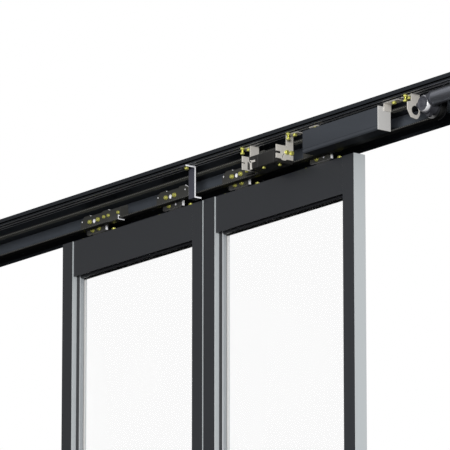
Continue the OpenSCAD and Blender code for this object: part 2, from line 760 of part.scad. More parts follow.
// T-shaped hanger plate with raised lands over the wheels
module hanger(cx) {
    h = hanger_len / 2;
    t = tongue_len / 2;
    a = wheel_span / 2 - 16;
    b = wheel_span / 2 + 16;
    color("#4b4b48") difference() {
        translate([cx, 0, 0]) forward_from(hanger_back_y, hanger_t) polygon([
            [-h, shoulder_z], [-t, shoulder_z], [-t, tongue_bot_z], [t, tongue_bot_z], [t, shoulder_z],
            [h, shoulder_z], [h, hanger_top_z - 8], [b + 3, hanger_top_z], [b, hanger_top_z + land_h],
            [a, hanger_top_z + land_h], [a - 4, hanger_top_z], [-a + 4, hanger_top_z],
            [-a, hanger_top_z + land_h], [-b, hanger_top_z + land_h], [-b - 3, hanger_top_z],
            [-h, hanger_top_z - 8]]);
        for (dx = clamp_dx) hanger_hole(cx + dx, clamp_z, m8[0] + 2 * hole_air);
        hanger_hole(cx + sight_hole[0], clamp_z, sight_hole[1]);
        for (dx = end_hole_dx) hanger_hole(cx + dx, hanger_top_z - 12, end_hole_d);
        for (s = [-1, 1]) hanger_hole(cx + s * guard_dx, guard_z, m8[0] + 2 * hole_air);
        if (cx == carriage_xs(-1)[0] || cx == carriage_xs(1)[0])
            for (dx = grip_bolt_dx)
                rod_y(cx + dx, hanger_front_y - 1, hanger_back_y - 1, clamp_z, m6[0] + 2 * hole_air);
    }
}

module hanger_hole(x, z, d) {
    rod_y(x, hanger_front_y - 1, hanger_back_y + 1, z, d);
}

module left_hanger_outer() { hanger(carriage_xs(-1)[0]); }
module left_hanger_inner() { hanger(carriage_xs(-1)[1]); }
module right_hanger_inner() { hanger(carriage_xs(1)[0]); }
module right_hanger_outer() { hanger(carriage_xs(1)[1]); }

// Roller carrier: a bar behind the wheels, a spacer block against the hanger and two axle pins
module carrier(cx) {
    bar_front = wheel_back_y + carrier_gap;
    spacer_half = wheel_span / 2 - wheel_r - 2.5;
    low = bead_top_z + 1;
    high = axle_z + carrier_h / 2;
    color("#3c3d3f") difference() {
        union() {
            block([cx - carrier_half, bar_front, axle_z - carrier_h / 2],
                [cx + carrier_half, bar_front + carrier_t, high]);
            block([cx - spacer_half, hanger_back_y, low], [cx + spacer_half, bar_front + carrier_t, high]);
            for (s = [-1, 1])
                rod_y(cx + s * wheel_span / 2, hanger_back_y + air, bar_front + 1, axle_z, axle_d);
        }
        for (dx = clamp_dx) if (abs(dx) < spacer_half)
            rod_y(cx + dx, hanger_back_y - 1, bar_front + carrier_t + 1, clamp_z, m8[0] + 2 * hole_air);
    }
}

module carriers(side) { for (cx = carriage_xs(side)) carrier(cx); }
module left_roller_carriers() { carriers(-1); }
module right_roller_carriers() { carriers(1); }

// Grooved wheel on the running bead
module wheel(side, i) {
    recess = 2;
    color("#1f1f1f") translate([wheel_x(side, i), bead_y, axle_z]) rotate([90, 0, 0]) difference() {
        cylinder(r = wheel_r, h = wheel_w, center = true);
        rotate_extrude() translate([axle_z - flange_top_z, 0]) circle(bead_r + air);
        cylinder(d = axle_d + 2 * run, h = wheel_w + 2, center = true);
        for (s = [-1, 1]) translate([0, 0, s * wheel_w / 2]) difference() {
            cylinder(r = wheel_r - 5, h = 2 * recess, center = true);
            cylinder(d = axle_d + 8, h = 2 * recess + 1, center = true);
        }
    }
}

module left_wheel_1() { wheel(-1, 0); }
module left_wheel_2() { wheel(-1, 1); }
module left_wheel_3() { wheel(-1, 2); }
module left_wheel_4() { wheel(-1, 3); }
module right_wheel_1() { wheel(1, 0); }
module right_wheel_2() { wheel(1, 1); }
module right_wheel_3() { wheel(1, 2); }
module right_wheel_4() { wheel(1, 3); }

// Guard roller under the track flange, on the tongue's bolt
module guard_roller(side, i) {
    x = carriage_xs(side)[i] - guard_dx;
    front = lug_back_y + 0.5;
    color("#252525") difference() {
        translate([x, front, guard_z]) rotate([-90, 0, 0]) rotate_extrude() polygon([
            [0, 0], [guard_d / 2 - 1, 0], [guard_d / 2, 1], [guard_d / 2, guard_w - 1],
            [guard_d / 2 - 1, guard_w], [0, guard_w]]);
        rod_y(x, front - 1, front + guard_w + 1, guard_z, m8[0] + 2 * run);
    }
}

module left_guard_roller_1() { guard_roller(-1, 0); }
module left_guard_roller_2() { guard_roller(-1, 1); }
module right_guard_roller_1() { guard_roller(1, 0); }
module right_guard_roller_2() { guard_roller(1, 1); }

// Foot on the leaf's top rail with an upright lug behind the hanger's tongue
module feet(side) {
    color("#55575a") for (cx = carriage_xs(side)) difference() {
        union() {
            block([cx - foot_len / 2, foot_y - foot_w / 2, leaf_top_z],
                [cx + foot_len / 2, foot_y + foot_w / 2, foot_top_z]);
            block([cx - lug_half, lug_front_y, leaf_top_z], [cx + lug_half, lug_back_y, guard_z + 10]);
        }
        for (s = [-1, 1]) {
            rod_z(cx + s * foot_bolt_dx, foot_y, leaf_top_z - 1, foot_top_z + 1, m8[0] + 2 * hole_air);
            rod_y(cx + s * guard_dx, lug_front_y - 1, lug_back_y + 1, guard_z, m8[0] + 2 * hole_air);
        }
    }
}

module left_feet() { feet(-1); }
module right_feet() { feet(1); }

// Bolts of one leaf's carriages: clamp bolts, guard roller axles with lock nuts, foot bolts
module carriage_bolts(side) {
    shank = hanger_t + lug_t + 0.5 + guard_w + 0.5;
    color("#c2c24a") for (i = [0, 1]) let (cx = carriage_xs(side)[i]) {
        for (dx = clamp_dx)
            bolt_front(cx + dx, hanger_front_y, clamp_z, m8, hanger_t + (dx < -30 ? -2 : 14));
        bolt_front(cx - guard_dx, hanger_front_y, guard_z, m8, shank + nut_h);
        translate([cx - guard_dx, hanger_front_y + shank, guard_z]) rotate([-90, 0, 0])
            cylinder(d = m8[1] / cos(30), h = nut_h, $fn = 6);
        if (i == 0) {
            bolt_front(cx + guard_dx, hanger_front_y, guard_z, m8, hanger_t + lug_t + nut_h + 1);
            translate([cx + guard_dx, lug_back_y, guard_z]) rotate([-90, 0, 0])
                cylinder(d = m8[1] / cos(30), h = nut_h, $fn = 6);
            for (dx = grip_bolt_dx)
                bolt_front(cx + dx, grip_front_y, clamp_z, m6, grip_t + hanger_t - 1.5);
        }
        for (s = [-1, 1]) bolt_down(cx + s * foot_bolt_dx, foot_y, foot_top_z, m8, 18);
    }
}

module left_carriage_bolts() { carriage_bolts(-1); }
module right_carriage_bolts() { carriage_bolts(1); }

// Belt bracket: a plate on the hanger, a jaw under or over the strand and an end tab towards +X
module belt_bracket(x, jaw_z, plate_low, plate_high) {
    jaw_x = x + grip_len - 70;
    jaw_front = belt_front_y + 1.5;
    color("#4b4b48") difference() {
        union() {
            block([x, hanger_front_y, plate_low], [x + grip_len, grip_front_y, plate_high]);
            block([jaw_x, grip_front_y + 1, jaw_z[0]], [x + grip_len, jaw_front, jaw_z[1]]);
            block([x + grip_len - tab_t, grip_front_y + 1, min(jaw_z[0], plate_low)],
                [x + grip_len, jaw_front, max(jaw_z[1], plate_low + 36)]);
        }
        for (dx = grip_bolt_dx) rod_y(x - grip_start + dx, grip_front_y - 1, hanger_front_y + 1, clamp_z,
            m6[0] + 2 * hole_air);
    }
}

module left_belt_bracket() {
    low = tooth_low_z + air;
    belt_bracket(left_grip_x, [low, low + 4], low, hanger_top_z - 3);
}

// Bent channel that closes the jaw from below and in front of the lower strand
module left_belt_channel() {
    t = 3;
    front = belt_front_y - 1;
    back = belt_back_y + 0.5;
    low = belt_low_z - air;
    lip_z = tooth_low_z + air + 4 + air;
    color("#c9c6c0") along_x(left_grip_x + grip_len - 66, 60) polygon([
        [back, low], [back, low - t], [front - t, low - t], [front - t, lip_z + t],
        [front + 14, lip_z + t], [front + 14, lip_z], [front, lip_z], [front, low]]);
}

module right_belt_bracket() {
    belt_bracket(right_grip_x, [tooth_high_z - air - 4, tooth_high_z - air], shoulder_z + 6,
        belt_high_z + air);
}

// Cap over the upper strand, seated on the bracket's top edge
module right_belt_cap() {
    color("#55575a") block([right_grip_x + grip_len - 66, hanger_front_y, belt_high_z + air],
        [right_grip_x + grip_len - 4, belt_front_y + 1.5, belt_high_z + air + 4]);
}

// Leaf heights between the rails
opening_top = leaf_top_z - rail_h;
opening_bot = leaf_bot_z + rail_h;
glass_front_y = leaf_front_y + leaf_t - rebate_t - air - glass_t;
glass_side = 6;
glass_end = 2;

// Hollow stile with a lip behind the glass; turn is 1 where the glass lies towards +X
module stile(x, turn) {
    translate([x, 0, leaf_bot_z]) scale([turn, 1, 1]) {
        linear_extrude(leaf_h) difference() {
            span([0, leaf_front_y], [stile_w, leaf_back_y]);
            span([profile_t, leaf_front_y + profile_t], [stile_w - profile_t, leaf_back_y - profile_t]);
        }
        translate([0, 0, rail_h]) linear_extrude(leaf_h - 2 * rail_h)
            span([stile_w - 1, leaf_back_y - rebate_t], [stile_w + bead_w, leaf_back_y]);
    }
}

module stiles(side) {
    x0 = leaf_x(side) + (side > 0 ? seal_w : 0);
    x1 = leaf_x(side) + leaf_w - (side < 0 ? seal_w : 0);
    color("#37383b") {
        stile(x0, 1);
        stile(x1, -1);
    }
}

module left_stiles() { stiles(-1); }
module right_stiles() { stiles(1); }

// Inner edges of a leaf's stiles
function stile_in(side) = [leaf_x(side) + (side > 0 ? seal_w : 0) + stile_w,
    leaf_x(side) + leaf_w - (side < 0 ? seal_w : 0) - stile_w];

// Hollow top and bottom rails with a lip behind the glass; the feet bolt into the top rail
module rails(side) {
    in = stile_in(side);
    face = leaf_front_y + rail_step;
    color("#37383b") for (top = [true, false]) {
        z0 = top ? opening_top : leaf_bot_z;
        lip = top ? [opening_top - bead_h, opening_top + 1] : [opening_bot - 1, opening_bot + bead_h];
        difference() {
            union() {
                along_x(in[0], in[1] - in[0]) difference() {
                    span([face, z0], [leaf_back_y, z0 + rail_h]);
                    span([face + profile_t, z0 + profile_t],
                        [leaf_back_y - profile_t, z0 + rail_h - profile_t]);
                }
                along_x(in[0] + bead_w, in[1] - in[0] - 2 * bead_w)
                    span([leaf_back_y - rebate_t, lip[0]], [leaf_back_y, lip[1]]);
            }
            if (top) for (cx = carriage_xs(side), s = [-1, 1])
                rod_z(cx + s * foot_bolt_dx, foot_y, leaf_top_z - profile_t - 1, leaf_top_z + 1,
                    m8[0] + 2 * hole_air);
        }
    }
}

module left_rails() { rails(-1); }
module right_rails() { rails(1); }

// Snap-in glazing beads with a slanted edge towards the glass
module glazing_beads(side) {
    in = stile_in(side);
    face = leaf_front_y + bead_step;
    rear = glass_front_y - air;
    slant = 3;
    color("#2d2e31") {
        for (m = [[in[0], 1], [in[1], -1]]) translate([m[0], 0, opening_bot]) scale([m[1], 1, 1])
            linear_extrude(opening_top - opening_bot) polygon([[0, face], [bead_w - slant, face],
                [bead_w, face + slant], [bead_w, rear], [0, rear]]);
        for (m = [[opening_top, -1], [opening_bot, 1]])
            along_x(in[0] + bead_w + air, in[1] - in[0] - 2 * bead_w - 2 * air) polygon([[face, m[0]],
                [face, m[0] + m[1] * (bead_h - slant)], [face + slant, m[0] + m[1] * bead_h],
                [rear, m[0] + m[1] * bead_h], [rear, m[0]]]);
    }
}

module left_glazing_beads() { glazing_beads(-1); }
module right_glazing_beads() { glazing_beads(1); }

module glass(side) {
    in = stile_in(side);
    color("#dfe8e6", 0.4) block([in[0] + glass_side, glass_front_y, opening_bot + glass_end],
        [in[1] - glass_side, glass_front_y + glass_t, opening_top - glass_end]);
}

module left_glass() { glass(-1); }
module right_glass() { glass(1); }

// Rubber strip with a round nose along the meeting stile
module meeting_seal(side) {
    mid = (leaf_front_y + leaf_back_y) / 2;
    half = 9;
    color("#6a6b6d") translate([side * air, mid, leaf_bot_z]) scale([side, 1, 1]) linear_extrude(leaf_h)
        polygon([[seal_w - air, -half], [1.5, -half], [0.5, -half + 1.5], [0, -half + 4],
            [0, half - 4], [0.5, half - 1.5], [1.5, half], [seal_w - air, half]]);
}

module left_meeting_seal() { meeting_seal(-1); }
module right_meeting_seal() { meeting_seal(1); }

header_rail();
toothed_belt();
drive_motor();
motor_end_cap();
gearbox();
gearbox_cover();
motor_bracket();
idler_bracket();
lock_housing();
lock_bracket_left();
lock_bracket_right();
lock_screws();
control_housing();
control_end_plates();
control_hangers();
centre_bracket();
slot_bolts();
end_stops();
stop_buffers();
drive_pulley();
output_shaft();
idler_pulley();
lock_bolt();
release_lever();
left_hanger_outer();
left_hanger_inner();
left_roller_carriers();
left_feet();
left_carriage_bolts();
left_belt_bracket();
left_belt_channel();
left_stiles();
left_rails();
left_glazing_beads();
left_glass();
left_meeting_seal();
left_wheel_1();
left_wheel_2();
left_wheel_3();
left_wheel_4();
left_guard_roller_1();
left_guard_roller_2();
right_hanger_inner();
right_hanger_outer();
right_roller_carriers();
right_feet();
right_carriage_bolts();
right_belt_bracket();
right_belt_cap();
right_stiles();
right_rails();
right_glazing_beads();
right_glass();
right_meeting_seal();
right_wheel_1();
right_wheel_2();
right_wheel_3();
right_wheel_4();
right_guard_roller_1();
right_guard_roller_2();
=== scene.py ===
import json
import math

import bmesh
import bpy
import numpy as np
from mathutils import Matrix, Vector


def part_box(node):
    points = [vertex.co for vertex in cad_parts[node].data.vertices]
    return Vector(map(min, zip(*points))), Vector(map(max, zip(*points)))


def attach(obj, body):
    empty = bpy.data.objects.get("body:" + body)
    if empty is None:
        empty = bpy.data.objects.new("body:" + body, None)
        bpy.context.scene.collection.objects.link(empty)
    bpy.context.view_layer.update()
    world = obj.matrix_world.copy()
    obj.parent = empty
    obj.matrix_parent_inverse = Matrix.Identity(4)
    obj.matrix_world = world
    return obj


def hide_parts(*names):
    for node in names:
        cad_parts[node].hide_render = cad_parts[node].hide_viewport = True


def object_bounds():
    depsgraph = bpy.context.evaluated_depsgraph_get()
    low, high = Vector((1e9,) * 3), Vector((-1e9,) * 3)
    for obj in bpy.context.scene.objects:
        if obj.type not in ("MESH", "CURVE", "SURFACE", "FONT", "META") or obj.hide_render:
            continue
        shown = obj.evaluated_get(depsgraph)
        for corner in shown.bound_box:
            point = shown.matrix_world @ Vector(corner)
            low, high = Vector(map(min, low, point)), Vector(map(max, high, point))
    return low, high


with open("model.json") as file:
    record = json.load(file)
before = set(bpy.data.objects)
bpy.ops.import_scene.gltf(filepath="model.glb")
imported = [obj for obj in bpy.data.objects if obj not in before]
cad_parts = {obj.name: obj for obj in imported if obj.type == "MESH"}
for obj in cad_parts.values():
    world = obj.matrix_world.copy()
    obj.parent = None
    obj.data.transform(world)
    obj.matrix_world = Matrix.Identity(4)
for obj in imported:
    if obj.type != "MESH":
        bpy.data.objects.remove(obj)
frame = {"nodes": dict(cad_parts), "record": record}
CAD_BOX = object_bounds()

bl_info = {
    "name": "Sliding door operator",
    "version": (1, 0, 0),
    "blender": (4, 5, 0),
    "location": "View3D > Sidebar > Door operator",
    "description": "Finishes and small parts for a belt driven sliding door operator",
    "category": "Object",
}

MM = 0.001
SIDES = ("left", "right")


def linear(hex_colour):
    """An sRGB hex value as linear red, green and blue."""
    channels = [int(hex_colour[i:i + 2], 16) / 255 for i in (1, 3, 5)]
    return tuple(c / 12.92 if c <= 0.04045 else ((c + 0.055) / 1.055) ** 2.4 for c in channels)


def tint(hex_colour, name, description):
    """A colour a user may change, with its default from an sRGB hex value."""
    return bpy.props.FloatVectorProperty(name=name, description=description, subtype="COLOR", size=3,
                                         min=0, max=1, default=linear(hex_colour))


def length(millimetres, name, description):
    """A size a user may change, in metres with its default in millimetres."""
    return bpy.props.FloatProperty(name=name, description=description, unit="LENGTH", min=0,
                                   precision=5, default=millimetres * MM)


class OperatorColours(bpy.types.PropertyGroup):
    """Colours of the operator's finishes."""

    header: tint("#202327", "Header", "Black anodised header extrusion")
    # Painted light: a lighter copy of the header's colour for the wall behind the belt, standing in for the
    # light that reaches the wall
    wall: tint("#50555C", "Header wall", "Grey anodised wall behind the belt")
    leaf: tint("#232529", "Leaf frame", "Anthracite powder coat of the stiles and rails")
    # Painted highlight: pale colour on the sides of the leaf profiles that face along the door, standing in
    # for the light on them
    painted_side_highlight: tint("#AFB4B6", "Profile sides", "Silver anodised sides of the leaf profiles")
    bead: tint("#202124", "Glazing bead", "Powder coat of the glazing beads")
    # Painted highlight: pale colour on the sides of the glazing beads that face along the door, standing in
    # for the light on them
    painted_bead_side_highlight: tint("#8E9396", "Bead sides", "Anodised sides of the glazing beads")
    belt: tint("#272726", "Belt", "Moulded back and cut sides of the belt")
    belt_teeth: tint("#6C6C67", "Belt teeth", "Nylon fabric on the toothed side of the belt")
    rib: tint("#A3A5A8", "Slot ribs", "Rubbed underside of the T-slot ribs")
    zinc: tint("#D4D0C9", "Zinc plate", "Bright zinc on the sheet brackets")
    yellow: tint("#D6D472", "Yellow zinc", "Yellow passivated zinc on the fasteners")
    dipped: tint("#3A3A38", "Dipped steel", "Dark dip paint on the carriages")
    # Near-white colour for sheared edges and the gear cover's round side: partly uncoated metal, partly
    # painted highlight where those faces catch the light
    edge_metal_and_highlight: tint("#F4F4F7", "Bare metal", "Cut edges of coated plate and turned sides")
    casting: tint("#3F4046", "Gear casting", "Grey die casting")
    motor: tint("#8B8E96", "Motor can", "Lacquered motor can")
    plastic: tint("#1D1C1B", "Black moulding", "Moulded black housings")
    control: tint("#3A3D42", "Control housing", "Dark satin paint of the control housing")
    sheet: tint("#C4C3C1", "Light sheet", "Light grey end plates of the control unit")
    turned: tint("#8B8D90", "Turned aluminium", "Belt pulleys")
    ground: tint("#B9BCBF", "Ground steel", "Shaft and lock bolt")
    strap: tint("#3A3B45", "Centre strap", "Blue grey dip paint of the strap at mid door")
    nylon: tint("#1F1F1F", "Nylon", "Wheels and guard rollers")
    rubber: tint("#151515", "Rubber", "Buffers and gaskets")
    seal: tint("#55575A", "Meeting seal", "Extruded strip on the meeting stiles")
    glass: tint("#FFFFFF", "Glass", "Clear float glass")
    # Painted shade: near black for the cover groove, standing in for the shade inside it
    pile: tint("#050505", "Pile strip", "Black pile strip in the cover groove")
    # Painted highlight: white tape behind the glass at the stiles, standing in for light on the rebate seen
    # through the glass
    tape: tint("#EDEDEB", "Glazing tape", "Foam tape between the glass and its rebate")
    floor: tint("#E9E9E7", "Floor", "Pale floor")


class OperatorSizes(bpy.types.PropertyGroup):
    """Sizes of the finishes and of the broken edges."""

    peel: length(2.5, "Coat texture", "Cell of the powder coat's fine texture")
    die_line: length(2.2, "Die line", "Spacing of the extrusion's drawing lines")
    sheet_edge: length(0.5, "Sheet edge", "Round on the edges of sheet and small moulded pieces")
    profile_edge: length(0.7, "Profile edge", "Round on the edges of the header, the beads and the strap")
    moulded_edge: length(0.8, "Moulded edge", "Round on the edges of housings and turned covers")
    frame_edge: length(0.9, "Leaf edge", "Round on the edges of the stiles and rails")
    cast_edge: length(1.0, "Cast edge", "Round on the edges of the gearbox")
    control_edge: length(1.2, "Control edge", "Round on the edges of the control housing")


COLOURS = None
SIZES = None
FINISH = {}

BEHAVIOUR = frame["record"]["behaviour"]
BODY_OF = {node: body for body, nodes in BEHAVIOUR["bodies"].items() for node in nodes}
# Where each turning joint has its axle, in millimetres
AXLE_OF = {joint["name"]: np.array(joint["pos_m"]) / MM
           for joint in BEHAVIOUR["joints"] if joint.get("pos_m")}


def box(node):
    """The lowest and the highest corner of a CAD node in millimetres."""
    low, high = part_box(node)
    return np.array(low) / MM, np.array(high) / MM


# The underside of the header's T-slot ribs, where the strap at mid door hangs
RIB_Z = box("centre_bracket")[1][2]


def add(tree, kind, settings=None, links=None):
    """One node with its settings; links maps an input to the socket that feeds it."""
    node = tree.nodes.new(kind)
    for key, value in (settings or {}).items():
        if isinstance(key, int) or key in node.inputs:
            node.inputs[key].default_value = value
        else:
            setattr(node, key, value)
    for key, socket in (links or {}).items():
        tree.links.new(socket, node.inputs[key])
    return node


def shaded(colour, factor):
    """A linear colour made lighter or darker, with alpha for a node's socket."""
    return tuple(min(1.0, c * factor) for c in colour) + (1.0,)


# Cell of the slow drift in tone that all finishes share, the fine noise's share of the tone, and the noise
# values at which the tone is darkest and lightest
BROAD_CELL = 250 * MM
FINE_SHARE = 0.6
TONE_STOPS = (0.3, 0.7)


def finish(name, colour, metallic, roughness, cell, stretch=(1, 1, 1), contrast=0.12, wander=0.06,
           relief=0.05, gloss=0.5, sides_uncoated_and_highlit=None):
    """A solid finish: tone, roughness and relief all follow one noise whose cells are sized in metres, and
    the tone also drifts slowly.

    cell is the size of the noise, stretch draws it out along X, Y or Z, contrast is how far the tone
    strays, wander how far the roughness strays, and relief the depth of the bump in millimetres.
    The last argument gives an axis, the share of the face's normal along it where a pale colour starts and
    where it is full, and that colour. It paints a highlight on the sides that face along the axis; on sheet
    sheared after it was coated it also stands for the uncoated metal of the edges.
    """
    material = bpy.data.materials.new(name)
    material.use_nodes = True
    tree = material.node_tree
    tree.nodes.clear()
    place = add(tree, "ShaderNodeTexCoord")
    grid = add(tree, "ShaderNodeMapping", {"Scale": tuple(1 / (cell * s) for s in stretch)},
               {"Vector": place.outputs["Object"]})
    fine = add(tree, "ShaderNodeTexNoise", {"Scale": 1.0, "Detail": 3.0, "Roughness": 0.55},
               {"Vector": grid.outputs["Vector"]})
    broad = add(tree, "ShaderNodeTexNoise", {"Scale": 1 / BROAD_CELL, "Detail": 2.0},
                {"Vector": place.outputs["Object"]})
    fine_share = add(tree, "ShaderNodeMath", {"operation": "MULTIPLY", 1: FINE_SHARE},
                     {0: fine.outputs["Fac"]})
    tone_at = add(tree, "ShaderNodeMath", {"operation": "MULTIPLY_ADD", 1: 1 - FINE_SHARE},
                  {0: broad.outputs["Fac"], 2: fine_share.outputs["Value"]})
    tone = add(tree, "ShaderNodeValToRGB", None, {"Fac": tone_at.outputs["Value"]})
    for stop, position, factor in zip(tone.color_ramp.elements, TONE_STOPS, (1 - contrast, 1 + contrast)):
        stop.position = position
        stop.color = shaded(colour, factor)
    colour_at = tone.outputs["Color"]
    # Painted highlight: faces that look along the given axis take the pale colour, standing in for the light
    # on those sides; on sheared sheet it also stands for uncoated metal at the edges.
    if sides_uncoated_and_highlit:
        axis, start, full, edge_metal_and_highlight = sides_uncoated_and_highlit
        along = add(tree, "ShaderNodeVectorMath", {"operation": "DOT_PRODUCT", 1: axis},
                    {0: place.outputs["Normal"]})
        share = add(tree, "ShaderNodeMath", {"operation": "ABSOLUTE"}, {0: along.outputs["Value"]})
        shows = add(tree, "ShaderNodeMapRange", {"From Min": start, "From Max": full},
                    {"Value": share.outputs["Value"]})
        highlit_mix = add(tree, "ShaderNodeMix", {"data_type": "RGBA", 7: (*edge_metal_and_highlight, 1)},
                   {0: shows.outputs["Result"], 6: colour_at})
        colour_at = highlit_mix.outputs[2]
    gleam = add(tree, "ShaderNodeMapRange", {"To Min": roughness - wander, "To Max": roughness + wander},
                {"Value": fine.outputs["Fac"]})
    bump = add(tree, "ShaderNodeBump", {"Strength": 0.5, "Distance": relief * MM},
               {"Height": fine.outputs["Fac"]})
    skin = add(tree, "ShaderNodeBsdfPrincipled",
               {"Metallic": metallic, "Specular IOR Level": gloss},
               {"Base Color": colour_at, "Roughness": gleam.outputs["Result"],
                "Normal": bump.outputs["Normal"]})
    add(tree, "ShaderNodeOutputMaterial", None, {"Surface": skin.outputs["BSDF"]})
    return material


def float_glass(colour):
    """Clear float glass: smooth and colourless, so thin in tone that light passes it nearly whole."""
    material = bpy.data.materials.new("clear_float_glass")
    material.use_nodes = True
    tree = material.node_tree
    tree.nodes.clear()
    skin = add(tree, "ShaderNodeBsdfPrincipled",
               {"Base Color": (*colour, 1), "Roughness": 0.0, "IOR": 1.4, "Transmission Weight": 1.0,
                "Alpha": 0.06})
    add(tree, "ShaderNodeOutputMaterial", None, {"Surface": skin.outputs["BSDF"]})
    return material


# Axes along which a piece's sides are painted pale: painted highlight, and on sheared sheet also uncoated
# metal
ALONG = (1, 0, 0)
ACROSS = (0, 1, 0)


def finishes():
    """Every finish of the operator, made once and found by name."""
    c = COLOURS
    drawn = {"cell": SIZES.die_line, "stretch": (400, 1, 1), "wander": 0.05, "relief": 0.03}
    powder = {"cell": SIZES.peel, "contrast": 0.06, "wander": 0.02, "relief": 0.01}
    dip = {"metallic": 0.0, "roughness": 0.45, "cell": 2 * MM, "contrast": 0.12, "relief": 0.02,
           "gloss": 0.3}
    return {
        # Black anodised aluminium, extruded: dark satin with fine lines along the profile.
        "header": finish("black_anodised_extrusion", c.header, 0.0, 0.3, contrast=0.15, gloss=0.12, **drawn),
        # The wall behind the belt: the same lines, in a lighter copy of the header's colour that is painted
        # light, standing in for the light that reaches the wall.
        "wall": finish("header_extrusion_painted_lighter", c.wall, 0.0, 0.35, contrast=0.15, gloss=0.2, **drawn),
        # The same profile where brackets slide: rubbed pale in lines along it.
        "rib": finish("rubbed_anodised_extrusion", c.rib, 0.0, 0.4, contrast=0.5, **drawn),
        # Aluminium profile with anthracite powder coat: even and satin with a faint orange peel. Where a
        # side looks along the door it is painted pale, a painted highlight for the light on those sides; the
        # beads the same.
        "leaf": finish("anthracite_coat_painted_pale_sides", c.leaf, 0.0, 0.3, sides_uncoated_and_highlit=(ALONG, 0.5, 0.8, c.painted_side_highlight),
                       **powder),
        "bead": finish("anthracite_bead_coat_painted_pale_sides", c.bead, 0.0, 0.35, sides_uncoated_and_highlit=(ALONG, 0.5, 0.8, c.painted_bead_side_highlight),
                       **powder),
        # Moulded polyurethane: matte, greyer where dust sits.
        "belt": finish("moulded_polyurethane_belt", c.belt, 0.0, 0.6, 1.5 * MM, contrast=0.2, relief=0.08,
                       gloss=0.3),
        # Woven nylon on the belt's teeth: paler and dull.
        "belt_teeth": finish("nylon_tooth_facing", c.belt_teeth, 0.0, 0.75, 1 * MM, contrast=0.15,
                             relief=0.05, gloss=0.2),
        # Electroplated bright zinc on folded sheet: pale metal, rolled along one way.
        "zinc": finish("bright_zinc_plate", c.zinc, 0.35, 0.45, 1.2 * MM, stretch=(1, 1, 12), contrast=0.1,
                       wander=0.08, relief=0.02),
        # Yellow passivated zinc: yellow metal that drifts towards olive.
        "yellow": finish("yellow_passivated_zinc", c.yellow, 0.7, 0.36, 3 * MM, contrast=0.3, relief=0.02),
        # Steel with dark dip paint: thin, even, semi-matte. Plate is painted near white at its edges, where
        # a face turns away from the front, and the channel at its sheared ends, which look along the door:
        # partly uncoated metal, partly painted highlight.
        "dipped": finish("dark_dip_paint", c.dipped, **dip),
        "plate": finish("dark_dip_paint_on_plate", c.dipped, sides_uncoated_and_highlit=(ACROSS, 0.7, 0.4, c.edge_metal_and_highlight), **dip),
        "channel": finish("dark_dip_paint_on_channel", c.dipped, sides_uncoated_and_highlit=(ALONG, 0.4, 0.7, c.edge_metal_and_highlight), **dip),
        # Die cast aluminium: fine grain, dull.
        "casting": finish("grey_die_casting", c.casting, 0.3, 0.5, 1.5 * MM, contrast=0.15, relief=0.12),
        # Gear cover: a dull dark disc, with a turned round side painted near white, partly as a painted
        # highlight of the light its rim catches.
        "cover": finish("die_cast_gear_cover", c.casting, 0.0, 0.5, 1.5 * MM, contrast=0.12, relief=0.05,
                        gloss=0.2),
        "cover_side": finish("turned_gear_cover_side_painted_highlight", c.edge_metal_and_highlight, 0.3, 0.35, 1 * MM, contrast=0.06,
                             relief=0.02),
        # Steel can under satin lacquer: a soft metallic gleam that runs along the can.
        "motor": finish("satin_grey_lacquer", c.motor, 0.85, 0.36, 4 * MM, stretch=(12, 1, 1), contrast=0.08,
                        wander=0.05, relief=0.02),
        # Moulded black plastic: spark eroded texture.
        "plastic": finish("moulded_black_plastic", c.plastic, 0.0, 0.5, 1.2 * MM, contrast=0.12, relief=0.06,
                          gloss=0.4),
        # Dark satin paint on aluminium profile: smooth and nearly without shine.
        "control": finish("dark_satin_paint", c.control, 0.0, 0.5, SIZES.peel, contrast=0.08, wander=0.03,
                          relief=0.015, gloss=0.03),
        # Light grey painted sheet: even and matte.
        "sheet": finish("light_grey_sheet", c.sheet, 0.2, 0.5, 2 * MM, contrast=0.06, relief=0.015,
                        gloss=0.3),
        # Turned aluminium: bright rings, softened here to fine grain.
        "turned": finish("turned_aluminium", c.turned, 1.0, 0.35, 1 * MM, stretch=(1, 6, 1), contrast=0.1,
                         wander=0.06, relief=0.02),
        # Ground steel bar: bright, with fine marks along it.
        "ground": finish("ground_steel", c.ground, 1.0, 0.25, 1 * MM, stretch=(1, 8, 1), contrast=0.08,
                         wander=0.05, relief=0.01),
        # Steel strap under blue grey dip paint; its sheared sides that look along the door are painted near
        # white, partly uncoated metal and partly painted highlight.
        "strap": finish("blue_grey_dip_paint", c.strap, 0.0, 0.3, 2 * MM, contrast=0.1, relief=0.015,
                        sides_uncoated_and_highlit=(ALONG, 0.4, 0.7, c.edge_metal_and_highlight)),
        # Moulded nylon: slightly waxy.
        "nylon": finish("moulded_nylon", c.nylon, 0.0, 0.4, 1.5 * MM, contrast=0.1, relief=0.03),
        # Moulded rubber: matte and dusty.
        "rubber": finish("moulded_rubber", c.rubber, 0.0, 0.7, 1.5 * MM, contrast=0.2, relief=0.05,
                         gloss=0.3),
        # Extruded rubber: grey, with drawing lines along the stile.
        "seal": finish("extruded_rubber_strip", c.seal, 0.0, 0.6, 2 * MM, stretch=(1, 1, 40), contrast=0.15,
                       wander=0.05, relief=0.04, gloss=0.3),
        # Painted shade: a near-black matte finish in the cover groove that stands in for the shade inside
        # it.
        "pile": finish("black_pile_strip", c.pile, 0.0, 0.9, 0.6 * MM, contrast=0.3, relief=0.2, gloss=0.0),
        # Foam tape that beds the glass: matte, and white as a painted highlight that stands in for the lit
        # rebate seen through the glass.
        "tape": finish("foam_tape_painted_white_highlight", c.tape, 0.0, 0.8, 1.5 * MM, contrast=0.04, relief=0.03, gloss=0.1),
        "glass": float_glass(c.glass),
    }


